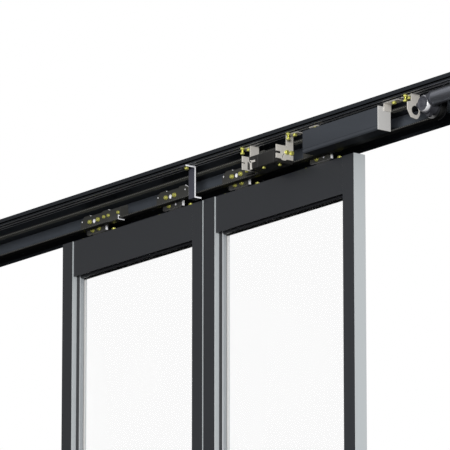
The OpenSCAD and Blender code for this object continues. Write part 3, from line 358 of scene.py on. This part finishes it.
def coat(finish_name, *nodes):
    """Puts one finish on CAD nodes."""
    for node in nodes:
        mesh = frame["nodes"][node].data
        mesh.materials.clear()
        mesh.materials.append(FINISH[finish_name])


def join(piece, finish_name, node):
    """Links a new piece, finishes it and lets it stand for its CAD node on the node's body."""
    bpy.context.scene.collection.objects.link(piece)
    piece.data.materials.clear()
    piece.data.materials.append(FINISH[finish_name])
    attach(piece, BODY_OF[node])
    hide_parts(node)


# Points nearer than this are one, in metres, in the CAD's meshes and in turned ones; faces that turn by less
# than this are one
CAD_WELD = 2e-6
TURNED_WELD = 1e-6
FLAT = math.radians(0.5)


def merged(node, name):
    """A copy of a CAD node's mesh with its doubles merged and its flat faces joined."""
    mesh = frame["nodes"][node].data.copy()
    mesh.name = name
    work = bmesh.new()
    work.from_mesh(mesh)
    bmesh.ops.remove_doubles(work, verts=work.verts, dist=CAD_WELD)
    bmesh.ops.dissolve_limit(work, angle_limit=FLAT, verts=work.verts, edges=work.edges)
    work.to_mesh(mesh)
    work.free()
    return mesh


def faces_of(mesh):
    """The middles of a mesh's faces in millimetres and their normals, one row each."""
    middle, normal = np.empty(3 * len(mesh.polygons)), np.empty(3 * len(mesh.polygons))
    mesh.polygons.foreach_get("center", middle)
    mesh.polygons.foreach_get("normal", normal)
    return middle.reshape(-1, 3) / MM, normal.reshape(-1, 3)


def zoned(mesh, **zones):
    """Gives chosen faces of a mesh finishes of their own. Each zone is a finish and which faces have it."""
    index = np.zeros(len(mesh.polygons), np.int32)
    for finish_name, chosen in zones.items():
        mesh.materials.append(FINISH[finish_name])
        index[chosen] = len(mesh.materials) - 1
    mesh.polygons.foreach_set("material_index", index)


# Edges that turn by more than this are broken, or stay crisp on a fastener
SHARP = math.radians(38)
FASTENER_SHARP = math.radians(25)


def eased(finish_name, radius, *nodes):
    """Merged copies of CAD nodes with broken edges: a small round of the given radius on every sharp
    edge."""
    made = []
    for node in nodes:
        mesh = merged(node, f"{node}_eased")
        mesh.shade_smooth()
        mesh.set_sharp_from_angle(angle=SHARP)
        piece = bpy.data.objects.new(mesh.name, mesh)
        rounds = piece.modifiers.new("broken_edges", "BEVEL")
        rounds.width = radius
        rounds.segments = 2
        rounds.limit_method = "ANGLE"
        rounds.angle_limit = SHARP
        rounds.harden_normals = True
        rounds.use_clamp_overlap = True
        join(piece, finish_name, node)
        made.append(piece)
    return made


def turned(rows, segments=48):
    """A turned or milled shape round an axis.

    Each row gives the height along the axis, the radius of the turning, the half width across flats and
    the number of flats. At angle a the radius is the smaller of the turning and of the flat, which is
    the half width / cos(a - the middle of its flat).
    """
    height, round_r, flat_r, flats = np.array(rows, float).T[:, :, None]
    angle = np.linspace(0, 2 * np.pi, segments, endpoint=False)[None, :]
    sector = 2 * np.pi / flats
    flat = flat_r / np.cos((angle + sector / 2) % sector - sector / 2)
    radius = np.minimum(round_r, flat)
    return np.stack([radius * np.cos(angle), radius * np.sin(angle), height + 0 * radius], axis=2)


# Depth of a thread as a share of its pitch
THREAD_DEPTH = 0.55


def thread(start, end, radius, pitch, segments=48, steps=6):
    """A screw thread: at angle a and height h the radius falls by the depth times a triangle wave of
    h / pitch - a / turn."""
    height = np.arange(start, end, pitch / steps)[:, None]
    angle = np.linspace(0, 2 * np.pi, segments, endpoint=False)[None, :]
    wave = np.abs(((height / pitch - angle / (2 * np.pi)) % 1) * 2 - 1)
    radius = radius - THREAD_DEPTH * pitch * wave
    return np.stack([radius * np.cos(angle), radius * np.sin(angle), height + 0 * radius], axis=2)


# How a fastener's own axes lie in the frame: rows are the frame's X, Y and Z for its first, second and
# third axis. The third runs from the head along the shank.
TO_BACK = np.array([[0, 0, 1], [1, 0, 0], [0, 1, 0]], float)
UP = np.eye(3)
DOWN = np.array([[0, 1, 0], [1, 0, 0], [0, 0, -1]], float)
TO_LEFT = np.array([[0, 0, 1], [0, 1, 0], [-1, 0, 0]], float)
# Standard hex fasteners in millimetres: shank radius, width across flats, head height, washer radius
M8 = (4.0, 13.0, 5.3, 8.0)
M6 = (3.0, 10.0, 4.0, 6.0)
M8_RADIUS, M8_FLATS = M8[:2]
M8_PITCH = 1.25
# A hexagon's corner radius (1 / the root of 3), chamfer circle and chamfer height, in widths across flats
HEX_CORNER = 0.577
HEX_FACE = 0.475
HEX_CHAMFER = 0.075
# A washer: thickness, the punched round on its upper edge inwards and down, the broken lower edge
WASHER = 1.6
WASHER_ROUND_IN = 0.4
WASHER_ROUND_DOWN = 0.3
WASHER_BREAK = 0.2
NUT = 6.5
LOCK_NUT = 4.0
# Square slot nut: half its width, and the radius to which its corners are turned
SLOT_NUT_HALF = 7.2
SLOT_NUT_CORNER = 9.2
# Chamfer on the end of a shank, and how far a stud looks out of its nut
CHAMFER = 0.8
STUD_OUT = 2.0
# A flat so far out that only the turning counts
FREE = 1e3


def ring(height, radius):
    """One row of a plain round turning."""
    return height, radius, FREE, 6


def hex_rows(start, end, flats, near=True, far=True):
    """Rows of a hexagon between two heights, chamfered to a circle at the ends that show."""
    inner, corner = HEX_FACE * flats, HEX_CORNER * flats
    drop = HEX_CHAMFER * flats
    rows = []
    if near:
        rows += [ring(start, inner), (start + drop / 2, (inner + corner) / 2, flats / 2, 6)]
    rows += [(start + drop * near, corner, flats / 2, 6), (end - drop * far, corner, flats / 2, 6)]
    if far:
        rows += [(end - drop / 2, (inner + corner) / 2, flats / 2, 6), ring(end, inner)]
    return rows


def washer_rows(radius, washer):
    """Rows of a washer that lies on its seat at height 0, punched with a small round on its edge."""
    return [ring(-WASHER, washer - WASHER_ROUND_IN), ring(-WASHER + WASHER_ROUND_DOWN, washer),
            ring(-WASHER_BREAK, washer), ring(0, washer - WASHER_BREAK), ring(0, radius)]


def plain_end(size, shank):
    """Rows of a shank's chamfered end."""
    radius = size[0]
    return [ring(shank - CHAMFER, radius), ring(shank, radius - CHAMFER), ring(shank, 0)]


def nut_end(shank):
    """Rows of a nut that closes an M8 shank."""
    end = shank + NUT
    return [ring(shank, M8_RADIUS), *hex_rows(shank, end, M8_FLATS), ring(end, 0)]


def slot_nut_end(shank):
    """Rows of a square slot nut that closes an M8 shank."""
    end = shank + NUT
    return [ring(shank, M8_RADIUS), (shank, SLOT_NUT_CORNER, SLOT_NUT_HALF, 4),
            (end, SLOT_NUT_CORNER, SLOT_NUT_HALF, 4), ring(end, 0)]


def bolt(size, ending):
    """A hex bolt seated at height 0 with its washer, and what is on its far end."""
    radius, flats, head, washer = size
    top = -WASHER - head
    return turned([ring(top, 0), *hex_rows(top, -WASHER, flats, far=False), *washer_rows(radius, washer),
                   *ending])


def stud(size, shank):
    """A stud with a washer, a nut and a thin lock nut on it, seated at height 0."""
    radius, flats, _, washer = size
    first = -WASHER - NUT
    second = first - LOCK_NUT
    top = second - STUD_OUT
    return turned([ring(top, 0), ring(top, radius - CHAMFER), ring(top + CHAMFER, radius),
                   ring(second, radius), *hex_rows(second, first, flats),
                   *hex_rows(first, -WASHER, flats, far=False), *washer_rows(radius, washer),
                   ring(shank, radius), ring(shank, 0)])


def hung_stud(hang, lip):
    """A threaded stud from a slot nut, with a nut against the slot's lips at height 0 and one at its end."""
    lower = [ring(-hang, 0), ring(-hang, M8_RADIUS), *hex_rows(-hang, NUT - hang, M8_FLATS)]
    upper = [*hex_rows(-NUT, 0, M8_FLATS), ring(0, M8_RADIUS), *slot_nut_end(lip)]
    return np.concatenate([turned(lower), thread(NUT - hang, -NUT, M8_RADIUS, M8_PITCH), turned(upper)])


def row(along, y, z):
    """Places in a row along X, at one depth and height."""
    along = np.atleast_1d(np.asarray(along, float))
    return np.stack([along, np.full_like(along, y), np.full_like(along, z)], axis=1)


def fasteners(node, groups):
    """One piece for a CAD node of fasteners. Each group gives a grid of points in rows round the axis,
    how it lies and the places of its seats; every place gets a copy of the grid."""
    points, faces, first = [], [], 0
    for grid, lie, places in groups:
        rows, segments, _ = grid.shape
        body = grid.reshape(-1, 3) @ lie
        index = np.arange(rows * segments).reshape(rows, segments)
        turn = np.roll(index, -1, axis=1)
        quads = np.stack([index[:-1], turn[:-1], turn[1:], index[1:]], axis=2).reshape(-1, 4)
        seats = np.array(places, float)
        points.append((body[None] + seats[:, None]).reshape(-1, 3))
        shift = first + np.arange(len(seats))[:, None, None] * len(body)
        faces.append((quads[None] + shift).reshape(-1, 4))
        first += len(seats) * len(body)
    mesh = bpy.data.meshes.new(f"{node}_turned")
    mesh.from_pydata((np.concatenate(points) * MM).tolist(), [], np.concatenate(faces).tolist())
    work = bmesh.new()
    work.from_mesh(mesh)
    bmesh.ops.remove_doubles(work, verts=work.verts, dist=TURNED_WELD)
    bmesh.ops.recalc_face_normals(work, faces=work.faces)
    work.to_mesh(mesh)
    work.free()
    mesh.shade_smooth()
    mesh.set_sharp_from_angle(angle=FASTENER_SHARP)
    join(bpy.data.objects.new(mesh.name, mesh), "yellow", node)


class DOOR_OT_finishes(bpy.types.Operator):
    """Makes every finish of the operator"""

    bl_idname = "door.finishes"
    bl_label = "Finishes"

    def execute(self, context):
        global COLOURS, SIZES
        COLOURS = context.scene.door_colours
        SIZES = context.scene.door_sizes
        FINISH.update(finishes())
        return {"FINISHED"}


# The photograph's side and focal length in pixels, the sensor's width in millimetres
PICTURE = 450
FOCAL_PIXELS = 5415.2
SENSOR = 36.0
# The camera's place in metres and its turns about X, Y and Z in degrees
CAMERA_AT = (13.992, -10.928, -4.571)
CAMERA_TURN = (103.965, 0, 52.066)
CLIP_END = 200.0
# What the lamp is aimed at, where it stands from there, its side in metres and its radiance
LAMP_AIM = (0.2, -0.1, -0.5)
LAMP_HEADING = (0.70, -0.71, 0.04)
LAMP_DISTANCE = 9.0
LAMP_SIZE = 2.4
LAMP_RADIANCE = 50.0
# Half the floor's side and its drop under the leaves, in metres
FLOOR_HALF = 40.0
FLOOR_DROP = 0.002
# The side of the sky that mirrors brightest
BRIGHT_SIDE = (0.6, 0.75, 0.28)


class DOOR_OT_stage(bpy.types.Operator):
    """Floor, light and camera"""

    bl_idname = "door.stage"
    bl_label = "Stage"

    def execute(self, context):
        scene = context.scene
        scene.view_settings.view_transform = "Standard"
        self.floor(scene)
        self.world(scene)
        self.lamp(scene)
        self.camera(scene)
        return {"FINISHED"}

    def floor(self, scene):
        """A pale floor that is clear from below, where the photograph's camera stands."""
        half, z = FLOOR_HALF, CAD_BOX[0].z - FLOOR_DROP
        mesh = bpy.data.meshes.new("floor")
        mesh.from_pydata([(-half, -half, z), (half, -half, z), (half, half, z), (-half, half, z)], [],
                         [(0, 1, 2, 3)])
        floor = bpy.data.objects.new("floor", mesh)
        scene.collection.objects.link(floor)
        floor.visible_diffuse = False
        floor.visible_glossy = False
        matte = bpy.data.materials.new("pale_floor")
        matte.use_nodes = True
        tree = matte.node_tree
        tree.nodes.clear()
        pale = add(tree, "ShaderNodeBsdfDiffuse", {"Color": (*COLOURS.floor, 1)})
        clear = add(tree, "ShaderNodeBsdfTransparent")
        side = add(tree, "ShaderNodeNewGeometry")
        one_sided = add(tree, "ShaderNodeMixShader", None,
                        {0: side.outputs["Backfacing"], 1: pale.outputs[0], 2: clear.outputs[0]})
        add(tree, "ShaderNodeOutputMaterial", None, {"Surface": one_sided.outputs[0]})
        mesh.materials.append(matte)

    def world(self, scene):
        """White to the camera and through glass. The sky that lights the object fades towards the floor; in
        reflections it is brightest on one side and dark below the horizon."""
        world = bpy.data.worlds.new("studio")
        world.use_nodes = True
        scene.world = world
        tree = world.node_tree
        tree.nodes.clear()
        rays = add(tree, "ShaderNodeLightPath")
        heading = add(tree, "ShaderNodeTexCoord")
        split = add(tree, "ShaderNodeSeparateXYZ", None, {0: heading.outputs["Generated"]})
        # Light from the sky: faint below the horizon and full from about 20 degrees up
        sky = add(tree, "ShaderNodeMapRange", {"From Max": 0.35, "To Min": 0.07, "To Max": 0.8},
                  {"Value": split.outputs["Z"]})
        # Mirrored sky: full towards the bright side, a third away from it, none from below the horizon
        towards = add(tree, "ShaderNodeVectorMath", {"operation": "DOT_PRODUCT", 1: BRIGHT_SIDE},
                      {0: heading.outputs["Generated"]})
        mirror = add(tree, "ShaderNodeMapRange", {"From Min": -0.9, "From Max": 0.2, "To Min": 0.3},
                     {"Value": towards.outputs["Value"]})
        above = add(tree, "ShaderNodeMapRange", {"From Min": -0.04, "From Max": 0.16},
                    {"Value": split.outputs["Z"]})
        mirrored = add(tree, "ShaderNodeMath", {"operation": "MULTIPLY"},
                       {0: mirror.outputs["Result"], 1: above.outputs["Result"]})
        lit = add(tree, "ShaderNodeMix", None,
                  {0: rays.outputs["Is Glossy Ray"], 2: sky.outputs["Result"], 3: mirrored.outputs["Value"]})
        seen = add(tree, "ShaderNodeMath", {"operation": "MAXIMUM"},
                   {0: rays.outputs["Is Camera Ray"], 1: rays.outputs["Is Transmission Ray"]})
        level = add(tree, "ShaderNodeMix", {3: 1.0}, {0: seen.outputs["Value"], 2: lit.outputs[0]})
        glow = add(tree, "ShaderNodeBackground", {"Color": (1, 1, 1, 1)}, {"Strength": level.outputs[0]})
        add(tree, "ShaderNodeOutputWorld", None, {"Surface": glow.outputs[0]})

    def lamp(self, scene):
        """One large soft lamp in front, to the right."""
        heading = Vector(LAMP_HEADING).normalized()
        light = bpy.data.lights.new("front_lamp", "AREA")
        light.shape = "SQUARE"
        light.size = LAMP_SIZE
        light.energy = LAMP_RADIANCE * math.pi * LAMP_SIZE ** 2
        lamp = bpy.data.objects.new("front_lamp", light)
        scene.collection.objects.link(lamp)
        lamp.location = Vector(LAMP_AIM) + heading * LAMP_DISTANCE
        lamp.rotation_euler = heading.to_track_quat("Z", "Y").to_euler()
        lamp.visible_camera = False

    def camera(self, scene):
        """A long lens from the right and below."""
        data = bpy.data.cameras.new("camera")
        data.sensor_width = SENSOR
        data.lens = FOCAL_PIXELS / PICTURE * SENSOR
        data.clip_end = CLIP_END
        camera = bpy.data.objects.new("camera", data)
        scene.collection.objects.link(camera)
        camera.location = CAMERA_AT
        camera.rotation_euler = [math.radians(turn) for turn in CAMERA_TURN]
        scene.camera = camera


# The header's section in millimetres: its back wall, and the cover groove's depth behind the front and its
# clearance from the rib below and from the top
BACK_WALL = 4.0
GROOVE_DEPTH = 12.0
GROOVE_ABOVE_RIB = 3.0
GROOVE_BELOW_TOP = 8.0
# How near a face lies to the plane that it is found by
NEAR = 0.5
# Shares of a face's normal: along an axis that it faces, and towards the wall at most in the cover groove
FACING = 0.9
GROOVE_TO_WALL = 0.5


class DOOR_OT_header(bpy.types.Operator):
    """Header rail with its end stops"""

    bl_idname = "door.header"
    bl_label = "Header"

    def execute(self, context):
        rail, = eased("header", SIZES.profile_edge, "header_rail")
        self.zones(rail.data)
        eased("dipped", SIZES.moulded_edge, "end_stops")
        coat("rubber", "stop_buffers")
        return {"FINISHED"}

    def zones(self, mesh):
        """Gives the undersides of the T-slot ribs finishes of their own, paints the wall behind the belt in
        a lighter copy of the header's colour as painted light, and paints the cover groove near black as
        painted shade."""
        middle, normal = faces_of(mesh)
        y, z = middle[:, 1], middle[:, 2]
        low, high = box("header_rail")
        rubbed = (np.abs(z - RIB_Z) < NEAR) & (normal[:, 2] < -FACING)
        # Painted light: these wall faces take a lighter copy of the header's colour
        wall = (np.abs(y - high[1] + BACK_WALL) < NEAR) & (normal[:, 1] < -FACING)
        # Painted shade: these groove faces are painted near black
        groove = (y > low[1] + NEAR) & (y < low[1] + GROOVE_DEPTH) & (normal[:, 1] < GROOVE_TO_WALL)
        groove &= (z > RIB_Z + GROOVE_ABOVE_RIB) & (z < high[2] - GROOVE_BELOW_TOP)
        zoned(mesh, rib=rubbed, wall=wall, pile=groove)


# How far the gear cover's round side reaches in at its edges, in millimetres
COVER_ROUND = 1.2
# The share of its normal that a face on the belt's toothed side turns inwards
TOOTH_FACING = 0.3


class DOOR_OT_drive(bpy.types.Operator):
    """Belt, pulleys, gearbox and motor"""

    bl_idname = "door.drive"
    bl_label = "Belt drive"

    def execute(self, context):
        self.belt()
        coat("turned", "drive_pulley", "idler_pulley")
        coat("ground", "output_shaft")
        eased("casting", SIZES.cast_edge, "gearbox")
        cover, = eased("cover", SIZES.moulded_edge, "gearbox_cover")
        self.highlit_cover_rim(cover.data)
        eased("motor", SIZES.moulded_edge, "drive_motor")
        eased("plastic", SIZES.moulded_edge, "motor_end_cap")
        eased("zinc", SIZES.sheet_edge, "motor_bracket", "idler_bracket")
        return {"FINISHED"}

    def belt(self):
        """The belt with nylon on its teeth, which are the faces that look towards the line between the
        pulley axles."""
        mesh = merged("toothed_belt", "toothed_belt_faced")
        join(bpy.data.objects.new(mesh.name, mesh), "belt", "toothed_belt")
        middle, normal = faces_of(mesh)
        low, high = box("toothed_belt")
        radius = (high[2] - low[2]) / 2
        inwards = np.clip(middle[:, 0], low[0] + radius, high[0] - radius) - middle[:, 0]
        upwards = (low[2] + high[2]) / 2 - middle[:, 2]
        facing = (normal[:, 0] * inwards + normal[:, 2] * upwards) / np.hypot(inwards, upwards)
        zoned(mesh, belt_teeth=facing > TOOTH_FACING)

    def highlit_cover_rim(self, mesh):
        """Gives the round side of the gear cover a finish of its own: near white, partly a painted highlight
        on its rim.
        """
        middle, normal = faces_of(mesh)
        low, high = box("gearbox_cover")
        axis = (low + high) / 2
        radius = np.hypot(middle[:, 0] - axis[0], middle[:, 2] - axis[2])
        # Painted highlight: the round side all round the cover is painted near white
        side = (radius > (high[0] - low[0]) / 2 - COVER_ROUND) & (np.abs(normal[:, 1]) < FACING)
        zoned(mesh, cover_side=side)


# Sheet of the brackets in millimetres
SHEET = 3.0
# Lock screws with their shanks: forward from the right bracket's back edge and under the ribs, and on the
# housing's underside along X and back from its front left corner
SIDE_SCREWS = (28.0, 8.0)
SIDE_SCREW_DROP = 60.0
SIDE_SHANK = 16.0
UNDER_SCREWS = ((94.5, 16.7), (156.0, 34.4))
UNDER_SHANK = 10.0


class DOOR_OT_lock(bpy.types.Operator):
    """Lock with its brackets, bolt and release lever"""

    bl_idname = "door.lock"
    bl_label = "Lock"

    def execute(self, context):
        eased("plastic", SIZES.moulded_edge, "lock_housing")
        eased("zinc", SIZES.sheet_edge, "lock_bracket_left", "lock_bracket_right", "release_lever")
        coat("ground", "lock_bolt")
        low, high = box("lock_bracket_right")
        corner = box("lock_housing")[0]
        sides = [(low[0] + SHEET, high[1] - forward, RIB_Z - SIDE_SCREW_DROP) for forward in SIDE_SCREWS]
        under = [(corner[0] + along, corner[1] + back, corner[2]) for along, back in UNDER_SCREWS]
        fasteners("lock_screws", [(bolt(M8, plain_end(M8, SIDE_SHANK)), TO_LEFT, sides),
                                  (bolt(M6, plain_end(M6, UNDER_SHANK)), UP, under)])
        return {"FINISHED"}


class DOOR_OT_control(bpy.types.Operator):
    """Control unit with its end plates and hangers, and the strap at mid door"""

    bl_idname = "door.control"
    bl_label = "Control unit"

    def execute(self, context):
        eased("control", SIZES.control_edge, "control_housing")
        eased("sheet", SIZES.sheet_edge, "control_end_plates")
        eased("zinc", SIZES.sheet_edge, "control_hangers")
        eased("strap", SIZES.profile_edge, "centre_bracket")
        return {"FINISHED"}


# Places on a carriage in millimetres, along X from the middle between its wheels, with the shanks: the two
# bolts of the hanger plate, those that clamp the belt bracket, the one at its far end, and those of the foot
HANGER_BOLTS = (-35.0, 12.0)
HANGER_SHANKS = (8.0, 24.0)
CLAMP_BOLTS = (54.0, 80.0)
CLAMP_SHANK = 14.5
FAR_BOLT = 136.0
FAR_SHANK = 6.0
FOOT_BOLT = 85.0
FOOT_SHANK = 18.0
# The height of the bolts on the hanger plate, the thickness of the belt bracket and of the foot
HANGER_BOLT_Z = -27.5
GRIP_SHEET = 6.0
FOOT_SHEET = 5.0
# The grip of the bolts with nuts: through the guard roller, and through the lug on the foot
GUARD_GRIP = 28.0
LUG_GRIP = 15.0
# The header's T-slots: the first one behind the front, the step to the next, their lips and a stud's hang
SLOT_BACK = 13.5
SLOT_STEP = 21.0
SLOT_LIP = 4.0
STUD_HANG = 23.0
# Slot bolts and studs along X from the low end of the piece they hold, the angle's bolt from its high end,
# and the idler's bolts to each side of its axle
SLOT_BOLTS = {"lock_bracket_left": 26.5, "lock_bracket_right": 33.5, "motor_bracket": 26.5,
              "control_housing": 25.0}
STUDS = {"lock_bracket_left": 19.5, "lock_bracket_right": 24.5, "motor_bracket": 33.0}
ANGLE_BOLT = 31.0
IDLER_BOLT = 16.0
# Thickness of the strap at mid door
STRAP = 5.0


class DOOR_OT_carriages(bpy.types.Operator):
    """Roller carriages and belt grips of both leaves"""

    bl_idname = "door.carriages"
    bl_label = "Carriages"

    def execute(self, context):
        edge = SIZES.sheet_edge
        for side in SIDES:
            eased("plate", edge, f"{side}_hanger_outer", f"{side}_hanger_inner")
            eased("dipped", edge, f"{side}_roller_carriers", f"{side}_feet", f"{side}_belt_bracket")
            eased("nylon", edge, *[f"{side}_wheel_{i}" for i in range(1, 5)],
                  *[f"{side}_guard_roller_{i}" for i in range(1, 3)])
            self.bolts(side)
        eased("channel", edge, "left_belt_channel")
        eased("dipped", edge, "right_belt_cap")
        self.slot_fasteners()
        return {"FINISHED"}

    def bolts(self, side):
        """Hex bolts of a leaf's two carriages; the first carriage also holds the belt bracket."""
        wheels = np.array([AXLE_OF[f"{side}_wheel_{i}_spin"][0] for i in range(1, 5)])
        guards = np.array([AXLE_OF[f"{side}_guard_roller_{i}_spin"] for i in range(1, 3)])
        middles = wheels.reshape(2, 2).mean(axis=1)
        first = middles[0]
        guard_x, guard_z = guards[:, 0], guards[0, 2]
        lug_x = 2 * first - guard_x[0]
        plate = box(f"{side}_hanger_outer")[0][1]
        grip = plate - GRIP_SHEET
        low, high = box(f"{side}_feet")
        foot_y, foot_z = (low[1] + high[1]) / 2, low[2] + FOOT_SHEET
        clamps = row(first + np.array(CLAMP_BOLTS), grip, HANGER_BOLT_Z)
        hangers = [(bolt(M8, plain_end(M8, shank)), TO_BACK, row(middles + along, plate, HANGER_BOLT_Z))
                   for along, shank in zip(HANGER_BOLTS, HANGER_SHANKS)]
        fasteners(f"{side}_carriage_bolts", [
            *hangers,
            (bolt(M8, nut_end(GUARD_GRIP)), TO_BACK, row(guard_x, plate, guard_z)),
            (bolt(M8, nut_end(LUG_GRIP)), TO_BACK, row(lug_x, plate, guard_z)),
            (bolt(M6, plain_end(M6, CLAMP_SHANK)), TO_BACK, clamps),
            (bolt(M6, plain_end(M6, FAR_SHANK)), TO_BACK, row(first + FAR_BOLT, grip, HANGER_BOLT_Z)),
            (bolt(M8, plain_end(M8, FOOT_SHANK)), DOWN, row(middles - FOOT_BOLT, foot_y, foot_z)),
            (stud(M8, FOOT_SHANK), DOWN, row(middles + FOOT_BOLT, foot_y, foot_z))])

    def slot_fasteners(self):
        """Bolts and studs that hang in the header's T-slots, each placed from the piece that it holds."""
        front = box("header_rail")[0][1] + SLOT_BACK
        rear = front + SLOT_STEP
        held = [box(node)[0][0] + along for node, along in SLOT_BOLTS.items()]
        held.append(box("control_hangers")[1][0] - ANGLE_BOLT)
        studs = [box(node)[0][0] + along for node, along in STUDS.items()]
        idler = AXLE_OF["idler_pulley_spin"][0] + np.array([-IDLER_BOLT, IDLER_BOLT])
        strap = sum(box("centre_bracket"))[0] / 2
        under = RIB_Z - SHEET
        sheet_bolts = np.concatenate([row(held, rear, under), row(idler, front, under),
                                      row(idler, rear, under)])
        fasteners("slot_bolts", [
            (bolt(M8, slot_nut_end(SHEET + SLOT_LIP)), UP, sheet_bolts),
            (bolt(M8, slot_nut_end(STRAP + SLOT_LIP)), UP, row(strap, front, RIB_Z - STRAP)),
            (hung_stud(STUD_HANG, SLOT_LIP), UP, row(studs, front, RIB_Z))])


# Sight edge of the beads inside the edge of the glass, in millimetres, at the stiles and at the rails
SIGHT_X = 14.0
SIGHT_Z = 5.0
# Section of a gasket: away from the glass, and inwards from the sight edge
WEDGE = ((0.2, 0.1), (2.4, 0.1), (2.2, 0.6), (1.5, 1.0), (0.2, 1.2))
# The foam tape's two faces behind the glass, and its start inside the edge of the glass
TAPE_OFF = (0.03, 0.2)
TAPE_INSET = 1.0
# The rubber lip: behind the stile's front, its depth and reach, the slope of its front, and its ends
LIP_BACK = 4.0
LIP_DEPTH = 5.0
LIP_OUT = 2.0
LIP_SLOPE = 0.5
LIP_SHORT = 2.0


class DOOR_OT_leaves(bpy.types.Operator):
    """Frames, beads, glass and seals of both leaves"""

    bl_idname = "door.leaves"
    bl_label = "Leaves"

    def execute(self, context):
        for side in SIDES:
            eased("leaf", SIZES.frame_edge, f"{side}_stiles", f"{side}_rails")
            eased("bead", SIZES.profile_edge, f"{side}_glazing_beads")
            coat("glass", f"{side}_glass")
            coat("seal", f"{side}_meeting_seal")
            self.glazing(side)
        self.lip()
        return {"FINISHED"}

    def bars(self, name, finish_name, side, profiles):
        """Straight bars in one piece on a leaf. Each has its cross-section in the frame's two axes across
        the given one, and its two ends along that axis."""
        points, faces = [], []
        for axis, section, ends in profiles:
            section = np.array(section, float)
            count = len(section)
            first = sum(len(p) for p in points)
            for end in ends:
                points.append(np.insert(section, axis, end, axis=1))
            near = np.arange(count) + first
            after = np.roll(near, -1)
            faces += np.stack([near, after, after + count, near + count], axis=1).tolist()
            faces += [near[::-1].tolist(), (near + count).tolist()]
        mesh = bpy.data.meshes.new(f"{side}_{name}")
        mesh.from_pydata((np.concatenate(points) * MM).tolist(), [], faces)
        work = bmesh.new()
        work.from_mesh(mesh)
        bmesh.ops.recalc_face_normals(work, faces=work.faces)
        work.to_mesh(mesh)
        work.free()
        piece = bpy.data.objects.new(mesh.name, mesh)
        bpy.context.scene.collection.objects.link(piece)
        mesh.materials.append(FINISH[finish_name])
        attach(piece, f"{side}_leaf")

    def glazing(self, side):
        """Wedge gaskets along the rails, before and behind the glass, and foam tape behind it at the
        stiles, white as a painted highlight for the lit rebate seen through the glass."""
        low, high = box(f"{side}_glass")
        wedge = np.array(WEDGE)
        across = (low[0] + SIGHT_X, high[0] - SIGHT_X)
        gaskets = [(0, np.stack([face + out * wedge[:, 0], edge + into * wedge[:, 1]], axis=1), across)
                   for face, out in ((low[1], -1), (high[1], 1))
                   for edge, into in ((low[2] + SIGHT_Z, 1), (high[2] - SIGHT_Z, -1))]
        self.bars("gaskets", "rubber", side, gaskets)
        upright = (low[2] + SIGHT_Z, high[2] - SIGHT_Z)
        near, far = (high[1] + off for off in TAPE_OFF)
        left = (low[0] + TAPE_INSET, low[0] + SIGHT_X)
        right = (high[0] - SIGHT_X, high[0] - TAPE_INSET)
        tape = [(2, [(x0, near), (x1, near), (x1, far), (x0, far)], upright) for x0, x1 in (left, right)]
        self.bars("glazing_tape", "tape", side, tape)

    def lip(self):
        """A flat rubber lip in front of the left leaf's meeting seal."""
        low, high = box("left_stiles")
        front, edge = low[1] + LIP_BACK, high[0]
        back, tip = front + LIP_DEPTH, edge + LIP_OUT
        section = [(edge, front), (tip, front + LIP_SLOPE), (tip, back), (edge, back)]
        self.bars("seal_lip", "rubber", "left", [(2, section, (low[2] + LIP_SHORT, high[2] - LIP_SHORT))])


PIECES = (DOOR_OT_finishes, DOOR_OT_stage, DOOR_OT_header, DOOR_OT_drive, DOOR_OT_lock, DOOR_OT_control,
          DOOR_OT_carriages, DOOR_OT_leaves)


class DOOR_PT_panel(bpy.types.Panel):
    """Lists the pieces of the operator"""

    bl_idname = "DOOR_PT_panel"
    bl_label = "Door operator"
    bl_space_type = "VIEW_3D"
    bl_region_type = "UI"
    bl_category = "Door operator"

    def draw(self, context):
        for piece in PIECES:
            self.layout.operator(piece.bl_idname)


CLASSES = (OperatorColours, OperatorSizes, *PIECES, DOOR_PT_panel)


def register():
    for cls in CLASSES:
        bpy.utils.register_class(cls)
    bpy.types.Scene.door_colours = bpy.props.PointerProperty(type=OperatorColours)
    bpy.types.Scene.door_sizes = bpy.props.PointerProperty(type=OperatorSizes)


def unregister():
    del bpy.types.Scene.door_sizes
    del bpy.types.Scene.door_colours
    for cls in reversed(CLASSES):
        bpy.utils.unregister_class(cls)


def main():
    register()
    bpy.ops.door.finishes()
    bpy.ops.door.stage()
    bpy.ops.door.header()
    bpy.ops.door.drive()
    bpy.ops.door.lock()
    bpy.ops.door.control()
    bpy.ops.door.carriages()
    bpy.ops.door.leaves()


if __name__ == "__main__":
    main()
